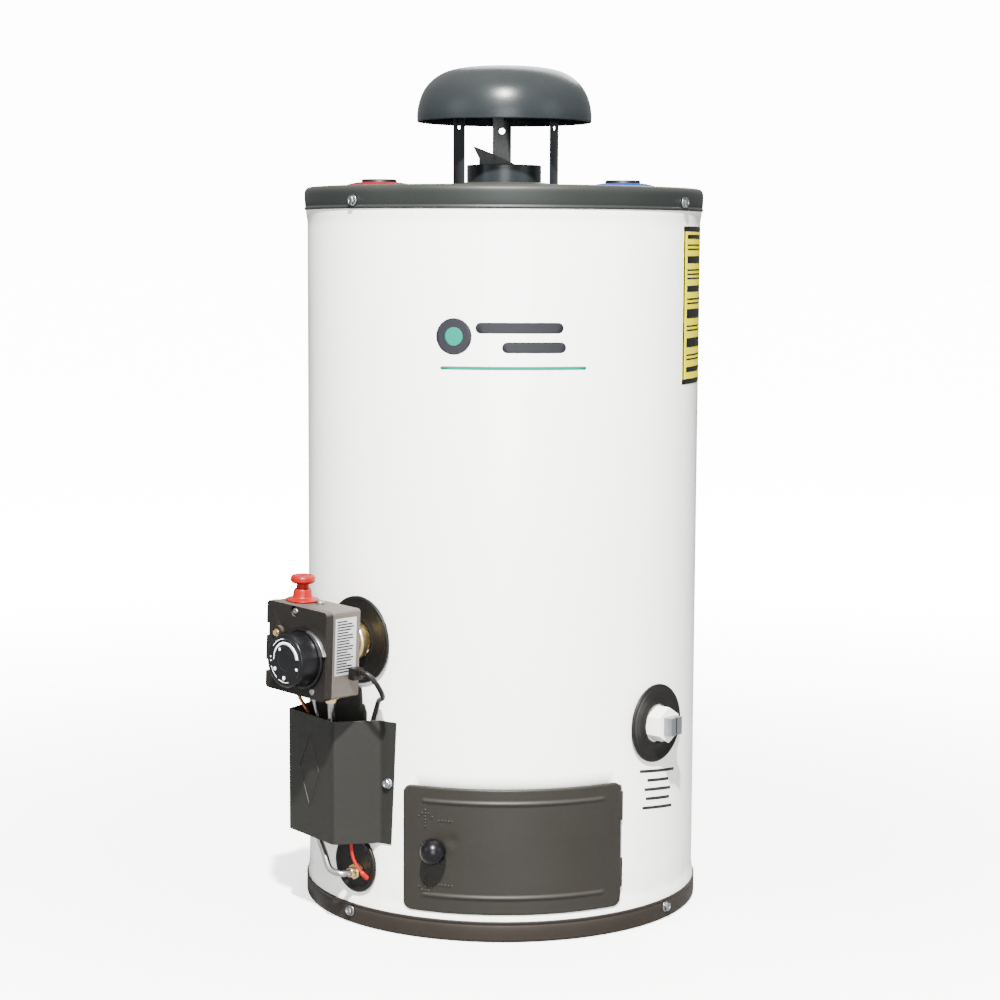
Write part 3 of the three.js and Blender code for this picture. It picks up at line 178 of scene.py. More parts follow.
def grid_faces(rows, cols, closed=False, keep=None):
    """Quads of a grid of points stored row by row; closed joins the last column to the first."""
    c = cols if closed else cols - 1
    i, j = np.meshgrid(np.arange(rows - 1), np.arange(c), indexing="ij")
    k = (j + 1) % cols
    quads = np.stack([i * cols + j, i * cols + k, (i + 1) * cols + k, (i + 1) * cols + j], -1)
    if keep is not None:
        quads = quads[keep]
    return quads.reshape(-1, 4).tolist()


def soften(points, reach, steps=4, closed=False):
    """A broken line with each corner P cut by the curve (1-s)^2 A + 2s(1-s) P + s^2 B.

    A and B lie on the two sides that meet at P, at most reach away from it.
    """
    p = np.asarray(points, float)
    before, after = np.roll(p, 1, 0), np.roll(p, -1, 0)
    to_a, to_b = before - p, after - p
    len_a = np.linalg.norm(to_a, axis=1, keepdims=True) + 1e-12
    len_b = np.linalg.norm(to_b, axis=1, keepdims=True) + 1e-12
    r = np.broadcast_to(np.asarray(reach, float).reshape(-1, 1), len_a.shape)
    a = p + to_a / len_a * np.minimum(r, 0.48 * len_a)
    b = p + to_b / len_b * np.minimum(r, 0.48 * len_b)
    s = np.linspace(0, 1, steps + 1)[None, :, None]
    arcs = (1 - s) ** 2 * a[:, None] + 2 * s * (1 - s) * p[:, None] + s**2 * b[:, None]
    if closed:
        return arcs.reshape(-1, p.shape[1])
    return np.concatenate([p[:1], arcs[1:-1].reshape(-1, p.shape[1]), p[-1:]])


def smooth_line(points, count):
    """A centripetal Catmull-Rom curve through the points: cubic spans whose knots grow with
    the square root of the distance between neighbours."""
    p = np.asarray(points, float)
    p = np.concatenate([[2 * p[0] - p[1]], p, [2 * p[-1] - p[-2]]])
    gap = np.linalg.norm(np.diff(p, axis=0), axis=1) ** 0.5
    span = np.linspace(0, len(points) - 1, count)
    i = np.minimum(span.astype(int), len(points) - 2)
    t = (span - i)[:, None]
    d0, d1, d2 = (gap[i + k][:, None] for k in range(3))
    a, b, c, d = (p[i + k] for k in range(4))
    m1 = ((b - a) / d0 - (c - a) / (d0 + d1) + (c - b) / d1) * d1
    m2 = ((c - b) / d1 - (d - b) / (d1 + d2) + (d - c) / d2) * d1
    leave, arrive = (2 * t**3 - 3 * t**2 + 1) * b, (3 * t**2 - 2 * t**3) * c
    return leave + (t**3 - 2 * t**2 + t) * m1 + arrive + (t**3 - t**2) * m2


def revolved(place, profile, sides=96, closed=False):
    """Each profile point (r, z) becomes the ring (r cos t, r sin t, z)."""
    line = np.asarray(profile, float)
    if closed:
        line = np.concatenate([line, line[:1]])
    t = np.linspace(0, 2 * math.pi, sides, endpoint=False)
    r, z = line[:, :1], line[:, 1:]
    points = np.stack([r * np.cos(t), r * np.sin(t), z + 0 * t], -1)
    return place(points.reshape(-1, 3)), grid_faces(len(line), sides, closed=True)


def turned(place, profile, sides, reach, steps=3, closed=False):
    """A profile with softened corners, turned round a place's Z."""
    return revolved(place, soften(profile, reach, steps, closed), sides, closed)


def inset(outline, distance):
    """A closed outline moved inwards: each corner goes along the sum of its sides' normals."""
    p = np.asarray(outline, float)
    side = np.roll(p, -1, 0) - p
    side /= np.linalg.norm(side, axis=1, keepdims=True)
    normal = np.stack([-side[:, 1], side[:, 0]], 1)
    back = np.roll(normal, 1, 0)
    lean = 1 + (normal * back).sum(1, keepdims=True)
    return p + distance * (normal + back) / lean


def prism(place, outline, levels, corner=1.0, steps=4):
    """A closed outline at each level (inset, z), its corners softened, with flat ends."""
    rings = [soften(inset(outline, d), max(corner - d * 0.6, 0.05), steps, closed=True) for d, _ in levels]
    points = np.concatenate([np.c_[ring, np.full(len(ring), z)] for ring, (_, z) in zip(rings, levels)])
    n = len(rings[0])
    faces = grid_faces(len(levels), n, closed=True)
    last = (len(levels) - 1) * n
    return place(points), faces + [list(range(n - 1, -1, -1)), list(range(last, last + n))]


def regular(sides, flat, turn=0.5):
    """A regular outline whose sides lie at the given distance from its middle."""
    t = 2 * math.pi * (np.arange(sides) + turn) / sides
    return np.c_[np.cos(t), np.sin(t)] * flat / math.cos(math.pi / sides)


def rectangle(x0, x1, y0, y1):
    return np.array([(x0, y0), (x1, y0), (x1, y1), (x0, y1)], float)


def swept(path, radius, sides=16):
    """A round bar: at each path point the ring P + r (cos t U + sin t V).

    U and V are square to the path; U comes from one direction that the path never takes.
    """
    p = np.asarray(path, float)
    along = np.gradient(p, axis=0)
    along /= np.linalg.norm(along, axis=1, keepdims=True)
    spare = np.linalg.svd(along)[2][-1]
    u = np.cross(along, spare)
    u /= np.linalg.norm(u, axis=1, keepdims=True)
    v = np.cross(along, u)
    t = np.linspace(0, 2 * math.pi, sides, endpoint=False)
    r = np.broadcast_to(np.asarray(radius, float), (len(p),))[:, None, None]
    ring = np.cos(t)[None, :, None] * u[:, None] + np.sin(t)[None, :, None] * v[:, None]
    points = (p[:, None] + r * ring).reshape(-1, 3)
    last = (len(p) - 1) * sides
    caps = [list(range(sides - 1, -1, -1)), list(range(last, last + sides))]
    return points, grid_faces(len(p), sides, closed=True) + caps


def sheet(points, flip=False):
    """An open sheet through a grid of points of shape (rows, columns, 3)."""
    rows, cols = points.shape[:2]
    faces = grid_faces(rows, cols)
    if flip:
        faces = [face[::-1] for face in faces]
    return points.reshape(-1, 3), faces


def pad(azimuth, z, width, height, corner, rho, fall=0.0, steps=12):
    """A rounded rectangle laid on the drum: each row is narrowed near its ends by the corner's
    circle, and the whole falls to the right by fall times its width."""
    c = min(corner, width / 2, height / 2)
    end = corner_steps(c, 7)
    d = np.unique(np.round(np.concatenate([end, height - end]), 5))
    near = np.minimum(d, height - d)
    cut = np.where(near < c, corner_cut(near, c), 0)
    half = np.maximum(width / 2 - cut, 0.02)[:, None]
    u = np.linspace(-1, 1, steps + 1)[None, :]
    rise = (d - height / 2)[:, None] + 0 * u
    return sheet(wrapped(azimuth, u * half, z + rise - fall * u * half, rho))


def plate(z, rim, holes, up=True):
    """A flat plate at height z: a constrained triangulation between its rim and its holes."""
    loops = [rim, *holes]
    flat = np.concatenate(loops)
    start = np.cumsum([0] + [len(loop) for loop in loops])
    edges = [(a + k, a + (k + 1) % (b - a)) for a, b in zip(start, start[1:]) for k in range(b - a)]
    found = delaunay_2d_cdt([Vector(p) for p in flat.tolist()], edges, [], 0, 1e-5)
    points = np.array([tuple(v) for v in found[0]])
    faces = np.array([f for f in found[2] if len(f) == 3])
    middle = points[faces].mean(1)
    keep = inside(middle, rim)
    for hole in holes:
        keep &= ~inside(middle, hole)
    a, b, c = (points[faces[:, k]] for k in range(3))
    turn = (b - a)[:, 0] * (c - a)[:, 1] - (b - a)[:, 1] * (c - a)[:, 0]
    faces[turn < 0] = faces[turn < 0][:, ::-1]
    faces = faces[keep]
    return np.c_[points, np.full(len(points), z)], (faces if up else faces[:, ::-1]).tolist()


def inside(points, loop):
    """True for each point that a closed loop winds round: crossings to its right are odd."""
    a, b = loop[None], np.roll(loop, -1, 0)[None]
    x, y = points[:, :1], points[:, 1:]
    spans = (a[..., 1] > y) != (b[..., 1] > y)
    rise = np.where(spans, b[..., 1] - a[..., 1], 1)
    cross = (b[..., 0] - a[..., 0]) * (y - a[..., 1]) / rise + a[..., 0]
    return ((spans & (x < cross)).sum(1) % 2).astype(bool)


def circle(x, y, radius, sides=48):
    t = np.linspace(0, 2 * math.pi, sides, endpoint=False)
    return np.c_[x + radius * np.cos(t), y + radius * np.sin(t)]


# ---- Putting pieces into the scene ----

SLOTS = {entry["material_slot"] for entry in frame["record"]["subparts"]}


def welded(points, faces):
    """Points that coincide become one, and faces lose their repeated corners."""
    _, first, where = np.unique(np.round(points, 4), axis=0, return_index=True, return_inverse=True)
    where = where.reshape(-1)
    kept = []
    for face in faces:
        loop = [int(where[k]) for k in face]
        loop = [k for n, k in enumerate(loop) if k != loop[n - 1]]
        if len(set(loop)) == len(loop) > 2:
            kept.append(loop)
    return points[first], kept


def joined(shapes):
    """Several surfaces as one, their points put end to end."""
    count, faces = 0, []
    for points, own in shapes:
        faces += [[k + count for k in face] for face in own]
        count += len(points)
    return np.concatenate([points for points, _ in shapes]), faces


def piece(name, shapes, look, body="root", replaces=(), slot="", wall=0, bevel=0, angle=35, mid=False):
    """One object made of several surfaces, with an optional wall and softened edges."""
    points, faces = joined([welded(*shape) for shape in shapes])
    mesh = bpy.data.meshes.new(name)
    mesh.from_pydata((points * METRE).tolist(), [], faces)
    mesh.validate()
    thing = bpy.data.objects.new(name, mesh)
    return finished(thing, look, body, replaces, slot, wall, bevel, angle, mid)


def fine(node, shapes, look, body="root", **edges):
    """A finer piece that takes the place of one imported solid."""
    return piece(f"{node}_fine", shapes, look, body, (node,), **edges)


def finished(thing, look, body, replaces, slot, wall, bevel, angle, mid=False):
    """Puts a mesh object into the scene with its finish, its wall, its edges and its body.

    When the finish is one of the part's slots it is worked out as the piece's slot, unless another is given,
    but the piece does not keep it.
    """
    bpy.context.scene.collection.objects.link(thing)
    thing.data.materials.clear()
    thing.data.materials.append(FINISHES[look])
    thing.data.shade_smooth()
    thing.data.set_sharp_from_angle(angle=math.radians(angle))
    if wall:
        solid = thing.modifiers.new("wall", "SOLIDIFY")
        solid.thickness = wall * METRE
        solid.offset = 0 if mid else -1
        solid.use_even_offset = True
    if bevel:
        edge = thing.modifiers.new("edges", "BEVEL")
        edge.width = bevel * METRE
        edge.segments = 3
        edge.limit_method = "ANGLE"
        edge.angle_limit = math.radians(angle)
        edge.harden_normals = True
    if look in SLOTS:
        slot = slot or look
    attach(thing, body)
    if replaces:
        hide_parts(*replaces)
    return thing


def dressed(node, look, slot="", body="root", bevel=0.5):
    """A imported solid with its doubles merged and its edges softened."""
    same_spot, nearly_flat = 2e-6, math.radians(1.5)
    mesh = frame["nodes"][node].data.copy()
    mesh.name = f"{node}_fine"
    work = bmesh.new()
    work.from_mesh(mesh)
    bmesh.ops.remove_doubles(work, verts=work.verts, dist=same_spot)
    bmesh.ops.dissolve_limit(work, angle_limit=nearly_flat, verts=work.verts, edges=work.edges)
    work.to_mesh(mesh)
    work.free()
    thing = bpy.data.objects.new(f"{node}_fine", mesh)
    return finished(thing, look, body, (node,), slot, 0, bevel, 35)


# ---- Shader maths ----

class Value:
    """A number on a socket; arithmetic on it adds the Math nodes that work it out."""

    def __init__(self, finish, socket):
        self.finish, self.socket = finish, socket

    def _math(self, operation, a, b=0.0, clamp=False):
        settings = {"operation": operation, "use_clamp": clamp}
        return self.finish.value("ShaderNodeMath", settings, {0: a, 1: b})

    def __add__(self, other):
        return self._math("ADD", self, other)

    def __sub__(self, other):
        return self._math("SUBTRACT", self, other)

    def __rsub__(self, other):
        return self._math("SUBTRACT", other, self)

    def __mul__(self, other):
        return self._math("MULTIPLY", self, other)

    __radd__, __rmul__ = __add__, __mul__

    def step(self, low, high):
        """0 below low, 1 above high, smooth between."""
        settings = {"interpolation_type": "SMOOTHSTEP", "clamp": True}
        values = {"Value": self, "From Min": low, "From Max": high}
        return self.finish.value("ShaderNodeMapRange", settings, values)

    def clamped(self):
        return self._math("ADD", self, 0.0, clamp=True)


FINISHES = {}


class Finish:
    """A material: constants sit on the shader's sockets, and patterns reach only its main inputs."""

    def __init__(self, name, **constants):
        self.name = name
        self.material = bpy.data.materials.new(name)
        self.material.use_nodes = True
        self.tree = self.material.node_tree
        self.shader = self.tree.nodes["Principled BSDF"]
        for key, constant in constants.items():
            socket = key.replace("_", " ").title().replace("Ior", "IOR")
            self.shader.inputs[socket].default_value = constant
        self.where = self.node("ShaderNodeTexCoord", {}, {}).outputs["Object"]

    def node(self, kind, settings, values):
        """Adds a node, sets its settings first and then the values or links of its sockets."""
        node = self.tree.nodes.new(kind)
        for key, setting in settings.items():
            setattr(node, key, setting)
        for key, value in values.items():
            socket = node.inputs[key]
            if isinstance(value, Value):
                value = value.socket
            if isinstance(value, bpy.types.NodeSocket):
                self.tree.links.new(value, socket)
            else:
                socket.default_value = value
        return node

    def value(self, kind, settings, values, output=0):
        return Value(self, self.node(kind, settings, values).outputs[output])

    def stretched(self, scale):
        return self.node("ShaderNodeMapping", {}, {"Vector": self.where, "Scale": scale}).outputs[0]

    def noise(self, scale, detail=3.0, rough=0.55, stretch=None):
        where = self.stretched(stretch) if stretch else self.where
        values = {"Vector": where, "Scale": scale, "Detail": detail, "Roughness": rough}
        return self.value("ShaderNodeTexNoise", {}, values)

    def cells(self, scale):
        return self.value("ShaderNodeTexVoronoi", {}, {"Vector": self.where, "Scale": scale})

    def mix(self, share, first, second):
        """A colour between two others."""
        settings = {"data_type": "RGBA", "clamp_factor": True}
        return self.node("ShaderNodeMix", settings, {0: share, 6: first, 7: second}).outputs[2]

    def height(self):
        return self.value("ShaderNodeSeparateXYZ", {}, {0: self.where}, 2)

    def upward(self):
        """1 where a surface looks up, 0 where it is upright or looks down."""
        normal = self.node("ShaderNodeNewGeometry", {}, {}).outputs["Normal"]
        return self.value("ShaderNodeSeparateXYZ", {}, {0: normal}, 2).clamped()

    def finish(self, colour, rough=None, bump=None, depth=0.0001, strength=1.0):
        """Links the patterns to the shader and keeps the material under its name."""
        for key, source in {"Base Color": colour, "Roughness": rough}.items():
            if source is not None:
                socket = source.socket if isinstance(source, Value) else source
                self.tree.links.new(socket, self.shader.inputs[key])
        if bump is not None:
            values = {"Height": bump, "Strength": strength, "Distance": depth}
            relief = self.node("ShaderNodeBump", {}, values)
            self.tree.links.new(relief.outputs[0], self.shader.inputs["Normal"])
        FINISHES[self.name] = self.material
        return self.material


def tone(code, gain=1.0):
    """A #rrggbb colour as linear red, green, blue and alpha, made lighter or darker by gain."""
    part = [int(code[k:k + 2], 16) / 255 for k in (1, 3, 5)]
    line = [c / 12.92 if c <= 0.04045 else ((c + 0.055) / 1.055) ** 2.4 for c in part]
    return (*[min(c * gain, 1.0) for c in line], 1.0)


# ---- Finishes ----

def enamel(name):
    """Baked white enamel: faint orange peel, smudges in its gloss and grime near the floor."""
    f = Finish(name, coat_weight=0.35, coat_roughness=0.08, ior=1.5)
    broad = f.noise(5, 4)
    peel = f.noise(420, 1)
    low = 1 - f.height().step(0.018, 0.12)
    grime = low * f.noise(38, 6, 0.7).step(0.42, 0.78) * 0.35
    specks = f.noise(260, 2).step(0.74, 0.8) * low * 0.5
    clean = f.mix(broad, tone("#F4F4F2", 0.97), tone("#F4F4F2", 1.02))
    dirty = f.mix((grime + specks).clamped(), clean, tone("#B9AE9C"))
    rough = 0.17 + f.noise(22, 5, 0.65).step(0.35, 0.75) * 0.10 + grime * 0.5
    return f.finish(dirty, rough, peel, 0.00006, 0.5)


def paint(name, code, rough, grain=700.0, depth=0.00008, dust=0.12, chips=0.25):
    """Sprayed paint: fine peel, slow colour drift, rubbed specks and dust where it faces up."""
    f = Finish(name, specular_ior_level=0.16)
    broad = f.noise(14, 5, 0.6)
    fine = f.noise(grain, 2)
    rub = f.noise(95, 8, 0.75, stretch=(1, 1, 0.35)).step(0.63, 0.72) * chips
    settled = f.upward() * (0.35 + broad * 0.9) * dust
    body = f.mix(broad, tone(code, 0.86), tone(code, 1.12))
    rubbed = f.mix(rub, body, tone(code, 1.8))
    dusty = f.mix(settled.clamped(), rubbed, tone("#B8AFA0"))
    gloss = rough + (broad - 0.5) * 0.16 + rub * 0.25 + settled * 0.6
    return f.finish(dusty, gloss, fine + rub * 0.6, depth, 0.55)


def moulded(name, code, rough, scuff=0.2, gloss=0.2):
    """Moulded plastic: tight grain, a little haze and pale scuffs."""
    f = Finish(name, specular_ior_level=gloss)
    broad = f.noise(30, 4)
    scuffs = f.noise(160, 7, 0.75, stretch=(1, 1, 0.2)).step(0.66, 0.74) * scuff
    body = f.mix(broad, tone(code, 0.9), tone(code, 1.1))
    colour = f.mix(scuffs, body, tone(code, 2.4))
    return f.finish(colour, rough + (broad - 0.5) * 0.12 + scuffs * 0.3, f.noise(1500, 1), 0.00003, 0.4)


def metal(name, code, rough, stretch, grain, tarnish, stain):
    """Bare metal: drawn or turned lines, cloudy gloss and patches of tarnish."""
    f = Finish(name, metallic=1.0)
    lines = f.noise(grain, 3, 0.6, stretch=stretch)
    cloud = f.noise(70, 5, 0.65)
    patch = cloud.step(0.52, 0.74) * stain
    body = f.mix(lines, tone(code, 0.86), tone(code, 1.1))
    colour = f.mix(patch, body, tone(tarnish))
    return f.finish(colour, rough + (lines - 0.5) * 0.14 + patch * 0.5, lines, 0.00003, 0.5)


def cast(name, code):
    """Die-cast metal with a blasted skin: pits from cells and a grey bloom."""
    f = Finish(name, metallic=0.65)
    pits = f.cells(1500)
    cloud = f.noise(45, 6, 0.6)
    colour = f.mix(cloud, tone(code, 0.78), tone(code, 1.08))
    return f.finish(colour, 0.5 + (cloud - 0.5) * 0.2, pits + f.noise(800, 2) * 0.5, 0.00008, 0.5)


def foamed(name, code):
    """Rigid foam: open cells of two sizes under a yellowed skin."""
    f = Finish(name, roughness=0.9)
    cells = f.cells(420) * 0.6 + f.cells(1100) * 0.4
    colour = f.mix(cells, tone(code, 0.7), tone(code, 1.1))
    return f.finish(colour, None, cells, 0.0006, 0.8)


def printed(name, code, rough=0.5, gloss=0.12):
    """Ink or film: nearly even, with a faint mottle."""
    f = Finish(name, specular_ior_level=gloss)
    mottle = f.noise(240, 3)
    return f.finish(f.mix(mottle, tone(code, 0.93), tone(code, 1.05)), rough + (mottle - 0.5) * 0.1)


enamel("jacket_enamel")
paint("cover_paint", "#1A1D1C", 0.44, chips=0.12, dust=0.04)
paint("base_paint", "#1D1915", 0.5, chips=0.3, dust=0.03)
paint("hood_paint", "#181C1E", 0.3, grain=520, depth=0.0001, chips=0.06, dust=0.02)
paint("door_paint", "#1D1C19", 0.42, grain=800, chips=0.1, dust=0.03)
paint("guard_paint", "#191917", 0.5, chips=0.12)
paint("valve_paint", "#110F0D", 0.55, grain=1300, depth=0.00014, chips=0.15)
moulded("black_plastic", "#0A0908", 0.5)
moulded("dial_plastic", "#08080A", 0.3)
moulded("red_plastic", "#740300", 0.36, scuff=0.08)
moulded("hot_plastic", "#640210", 0.65, scuff=0.08, gloss=0.02)
moulded("cold_plastic", "#02246A", 0.65, scuff=0.08, gloss=0.02)
moulded("white_plastic", "#E4E3DF", 0.42, scuff=0.05)
moulded("red_lead", "#8E0508", 0.45)
moulded("black_lead", "#0D0C0A", 0.4)
cast("cast_aluminium", "#5C5650")
metal("bare_aluminium", "#A2A3A2", 0.3, (1, 1, 0.1), 700, "#8C8A84", 0.3)
metal("zinc", "#8C9094", 0.3, (1, 1, 1), 1200, "#8F8A70", 0.3)
metal("brass", "#DCC48C", 0.3, (1, 1, 0.15), 900, "#8A6A34", 0.15)
metal("copper", "#A8623A", 0.32, (1, 1, 0.1), 700, "#5E3420", 0.35)
metal("magnesium", "#A9A9A4", 0.55, (1, 1, 0.3), 500, "#7A5A3C", 0.4)
metal("raw_steel", "#2C2D2E", 0.55, (1, 1, 0.2), 400, "#5A3E2A", 0.5)
paint("tank_steel", "#4C5662", 0.5, chips=0.3)
foamed("foam", "#E6D9A8")
printed("dark_print", "#1C1D21")
printed("teal_print", "#006454", 0.6, 0.05)
printed("label_yellow", "#C4BC00", 0.8, 0.0)
printed("label_black", "#0C0B0A", 0.45)
printed("label_silver", "#8F9094", 0.35)
printed("grey_print", "#1E1D1C", 0.5)
printed("pale_print", "#DCE6EE", 0.45)


# ---- Camera, floor and light ----

def make_camera():
    """A long lens: turned down, a hair to the side and rolled by a hair."""
    data = bpy.data.cameras.new("camera")
    data.lens, data.sensor_width = 83.125, 36
    data.clip_start, data.clip_end = 0.05, 100
    camera = bpy.data.objects.new("camera", data)
    tilt, roll, pan = 0.110608, 0.0050803, 0.0010327
    turn = Matrix.Rotation(pan, 4, "Z") @ Matrix.Rotation(math.pi / 2 - tilt, 4, "X")
    turn = turn @ Matrix.Rotation(roll, 4, "Z")
    camera.matrix_world = Matrix.Translation((0, -2.31668, 0.65613)) @ turn
    bpy.context.scene.collection.objects.link(camera)
    bpy.context.scene.camera = camera


def area(name, where, size, power, colour=(1, 1, 1), shine=0.1):
    """A round lamp that looks at the heater's waist; shine is its share in highlights."""
    data = bpy.data.lights.new(name, "AREA")
    data.specular_factor = shine
    data.shape, data.size, data.energy, data.color = "DISK", size, power, colour
    light = bpy.data.objects.new(name, data)
    light.location = where
    light.rotation_euler = (Vector((0, 0, 0.36)) - Vector(where)).to_track_quat("-Z", "Y").to_euler()
    bpy.context.scene.collection.objects.link(light)


def make_world():
    """An even surround that the camera sees far brighter than the heater does."""
    world = bpy.data.worlds.new("studio")
    world.use_nodes = True
    bpy.context.scene.world = world
    tree = world.node_tree
    tree.nodes.clear()
    new, link = tree.nodes.new, tree.links.new
    out, ray, mix = new("ShaderNodeOutputWorld"), new("ShaderNodeLightPath"), new("ShaderNodeMixShader")
    link(ray.outputs["Is Camera Ray"], mix.inputs[0])
    for k, colour, strength in ((1, (0.96, 0.98, 1, 1), 0.6), (2, (1, 1, 1, 1), BACKDROP_GLOW)):
        glow = new("ShaderNodeBackground")
        glow.inputs["Color"].default_value = colour
        glow.inputs["Strength"].default_value = strength
        link(glow.outputs[0], mix.inputs[k])
    link(mix.outputs[0], out.inputs[0])


def make_floor():
    """Pale paper: the camera sees it glow more the further it lies from the heater, and other rays
    meet a darker grey."""
    sides, radii = 96, (0.6, 3.0, 40.0)
    t = np.linspace(0, 2 * math.pi, sides, endpoint=False)
    ring = np.stack([np.cos(t), np.sin(t), 0 * t], 1)
    points = np.concatenate([ring * r for r in radii] + [np.zeros((1, 3))])
    middle = len(radii) * sides
    faces = [face[::-1] for face in grid_faces(len(radii), sides, closed=True)]
    faces += [[middle, j, (j + 1) % sides] for j in range(sides)]
    mesh = bpy.data.meshes.new("floor")
    mesh.from_pydata(points.tolist(), [], faces)
    floor = bpy.data.objects.new("floor", mesh)
    f = Finish("floor_paper", roughness=0.9, emission_strength=BACKDROP_GLOW)
    far = f.value("ShaderNodeVectorMath", {"operation": "LENGTH"}, {0: f.where}, 1)
    seen = Value(f, f.node("ShaderNodeLightPath", {}, {}).outputs["Is Camera Ray"])
    glow = (far.step(0.15, 2.4) * 0.86 + 0.14) * seen
    f.tree.links.new(f.mix(glow, (0, 0, 0, 1), (1, 1, 1, 1)), f.shader.inputs["Emission Color"])
    mottle = f.noise(3, 3) * 0.04 + 0.94
    mesh.materials.append(f.finish(f.mix(mottle * seen, (0.2, 0.2, 0.2, 1), (0.98, 0.98, 0.98, 1))))
    bpy.context.scene.collection.objects.link(floor)


def make_studio():
    """A bright surround, a firm key light from above the camera, and soft fills."""
    make_world()
    area("key", (0.0, -2.7, 3.3), 0.14, 1150, (1, 0.98, 0.95), 1.0)
    area("front_fill", (0.2, -4.4, 1.0), 2.2, 200)
    area("fill_left", (-3.2, -1.6, 1.6), 2.0, 35)
    area("fill_right", (3.2, -1.6, 1.4), 2.0, 30)
    area("rim_back", (0.5, 3.2, 2.6), 2.0, 70)
    make_floor()


# ---- Casing ----

def make_jacket():
    """Radius over azimuth and height: a plain drum that flares under both bands; the cells in
    front of the fire chamber are left out, their corner points moved in by the corner's circle."""
    corner, sill, flare_reach = 6.0, 4.5, 14
    half = math.degrees(math.asin((DOOR_HALF - 11.5) / JACKET))
    low, high = DOOR_LOW + sill, DOOR_LOW + DOOR_TALL - sill
    left, right = DOOR_AZIMUTH - half, DOOR_AZIMUTH + half
    closed_cols, open_cols = 170, 23
    azimuths = np.concatenate([
        np.linspace(right, left + 360, closed_cols),
        np.linspace(left + 360, right + 360, open_cols)[1:-1],
    ])
    step = corner_steps(corner, 6)
    heights = np.unique(np.round(np.concatenate([
        [1.3, 10, BASE_BAND, BASE_BAND + 3.5, BASE_BAND + 7], low + step, [60, 87, 110], high - step,
        np.linspace(160, TOP_EDGE - 20, 12), TOP_EDGE - np.linspace(flare_reach, 0, 5), [695, 703.2],
    ]), 4))
    z = heights[:, None] + 0 * azimuths[None]
    foot = np.clip((z - BASE_BAND) / flare_reach, 0, 1)
    head = np.clip((TOP_EDGE - z) / flare_reach, 0, 1)
    rho = JACKET + FLARE * (1 - eased(np.minimum(foot, head)))
    a = np.radians(np.broadcast_to(azimuths, z.shape)).copy()
    near = np.minimum(heights - low, high - heights)
    cut = np.where((near > -1e-6) & (near < corner), corner_cut(near, corner), 0)
    a[:, closed_cols - 1] += cut / JACKET
    a[:, 0] -= cut / JACKET
    points = np.stack([rho * np.sin(a), -rho * np.cos(a), z], -1)
    keep = np.ones((len(heights) - 1, len(azimuths)), bool)
    between = (heights[1:] + heights[:-1]) / 2
    opening = np.ix_((between > low) & (between < high), np.arange(closed_cols - 1, len(azimuths)))
    keep[opening] = False
    shape = (points.reshape(-1, 3), grid_faces(len(heights), len(azimuths), closed=True, keep=keep))
    piece("jacket_skin", [shape], "jacket_enamel", replaces=("jacket",), wall=1.0)
    seam = [pad(180, 355, 14, 660, 2, JACKET + 0.5)]
    piece("jacket_seam", seam, "jacket_enamel", wall=0.5, bevel=0.2)


def make_top_cover():
    """A band with a rolled lower bead, a rounded shoulder, a flat top with holes and a boss."""
    bead = [(-1.2, -0.3), (-0.3, 0.1), (0, 1.2), (-0.4, 2.4), (-0.8, 3.2), (-0.5, 5)]
    shoulder = [(-0.1, -8), (-0.5, -4.2), (-1.9, -1.7), (-4.2, -0.4), (-7.5, 0)]
    band = shifted(BAND, TOP_EDGE, bead) + shifted(BAND, BODY_HEIGHT, shoulder) + [(FLAT, BODY_HEIGHT)]
    boss = shifted(BOSS, BODY_HEIGHT, [
        (BOSS_FOOT - BOSS, 0), (6, 0.4), (3, 3.2), (0, BOSS_RISE - 0.5), (-2, BOSS_RISE), (-7.2, BOSS_RISE),
    ])
    holes = [circle(0, 0, BOSS_FOOT, 144)]
    holes += [circle(HOT_X, 0, 18.1), circle(COLD_X, 0, 18.1), circle(0, ANODE_Y, 13.8)]
    shape = joined([
        revolved(UPRIGHT, smooth_line(band, 34), 144),
        revolved(UPRIGHT, smooth_line(boss, 18), 144),
        plate(BODY_HEIGHT, circle(0, 0, FLAT, 144), holes),
    ])
    piece("top_cover_skin", [shape], "cover_paint", replaces=("top_cover",), wall=1.0, angle=50)


def make_base_pan():
    """The same band upside down, with a floor that has air slots."""
    foot = [(-4, 0.05), (-1.6, 0.5), (-0.3, 1.9), (-0.1, 4)]
    bead = [(-0.3, -5), (-0.8, -3.2), (-0.4, -2.2), (0, -1.1), (-0.3, 0), (-1.2, 0.3)]
    band = [(FLAT, 0.0), (190, 0.0)] + shifted(BAND, 0, foot) + shifted(BAND, BASE_BAND, bead)
    slot = soften(rectangle(-5, 5, 80, 125), 3, 4, closed=True)
    slots = []
    for k in range(8):
        turn = math.pi * (k + 0.5) / 4
        slots.append(slot @ np.array([[math.cos(turn), math.sin(turn)], [-math.sin(turn), math.cos(turn)]]))
    floor = plate(0.0, circle(0, 0, FLAT, 144), slots, up=False)
    shape = joined([revolved(UPRIGHT, smooth_line(band, 34), 144), floor])
    piece("base_pan_skin", [shape], "base_paint", replaces=("base_pan",), wall=1.0, angle=50)


def make_screw(name, azimuth, height, seat):
    """A hexagon head with a chamfered crown on a dished flange."""
    at = facing(azimuth, height)
    flange = shifted(0, seat, [(0, -5), (1.8, -5), (1.8, 0), (5.3, 0), (5.3, 0.5), (4.2, 1.3), (0, 1.4)])
    crown = shifted(0, seat, [(0, 1.0), (0, 3.2), (0.7, 3.9), (1.9, 4.0), (2.3, 3.4)])
    head = prism(at.rolled(azimuth * 3), regular(6, 4.0), crown, 0.5, 2)
    fine(name, [turned(at, flange, 40, 0.25, 2), head], "zinc")


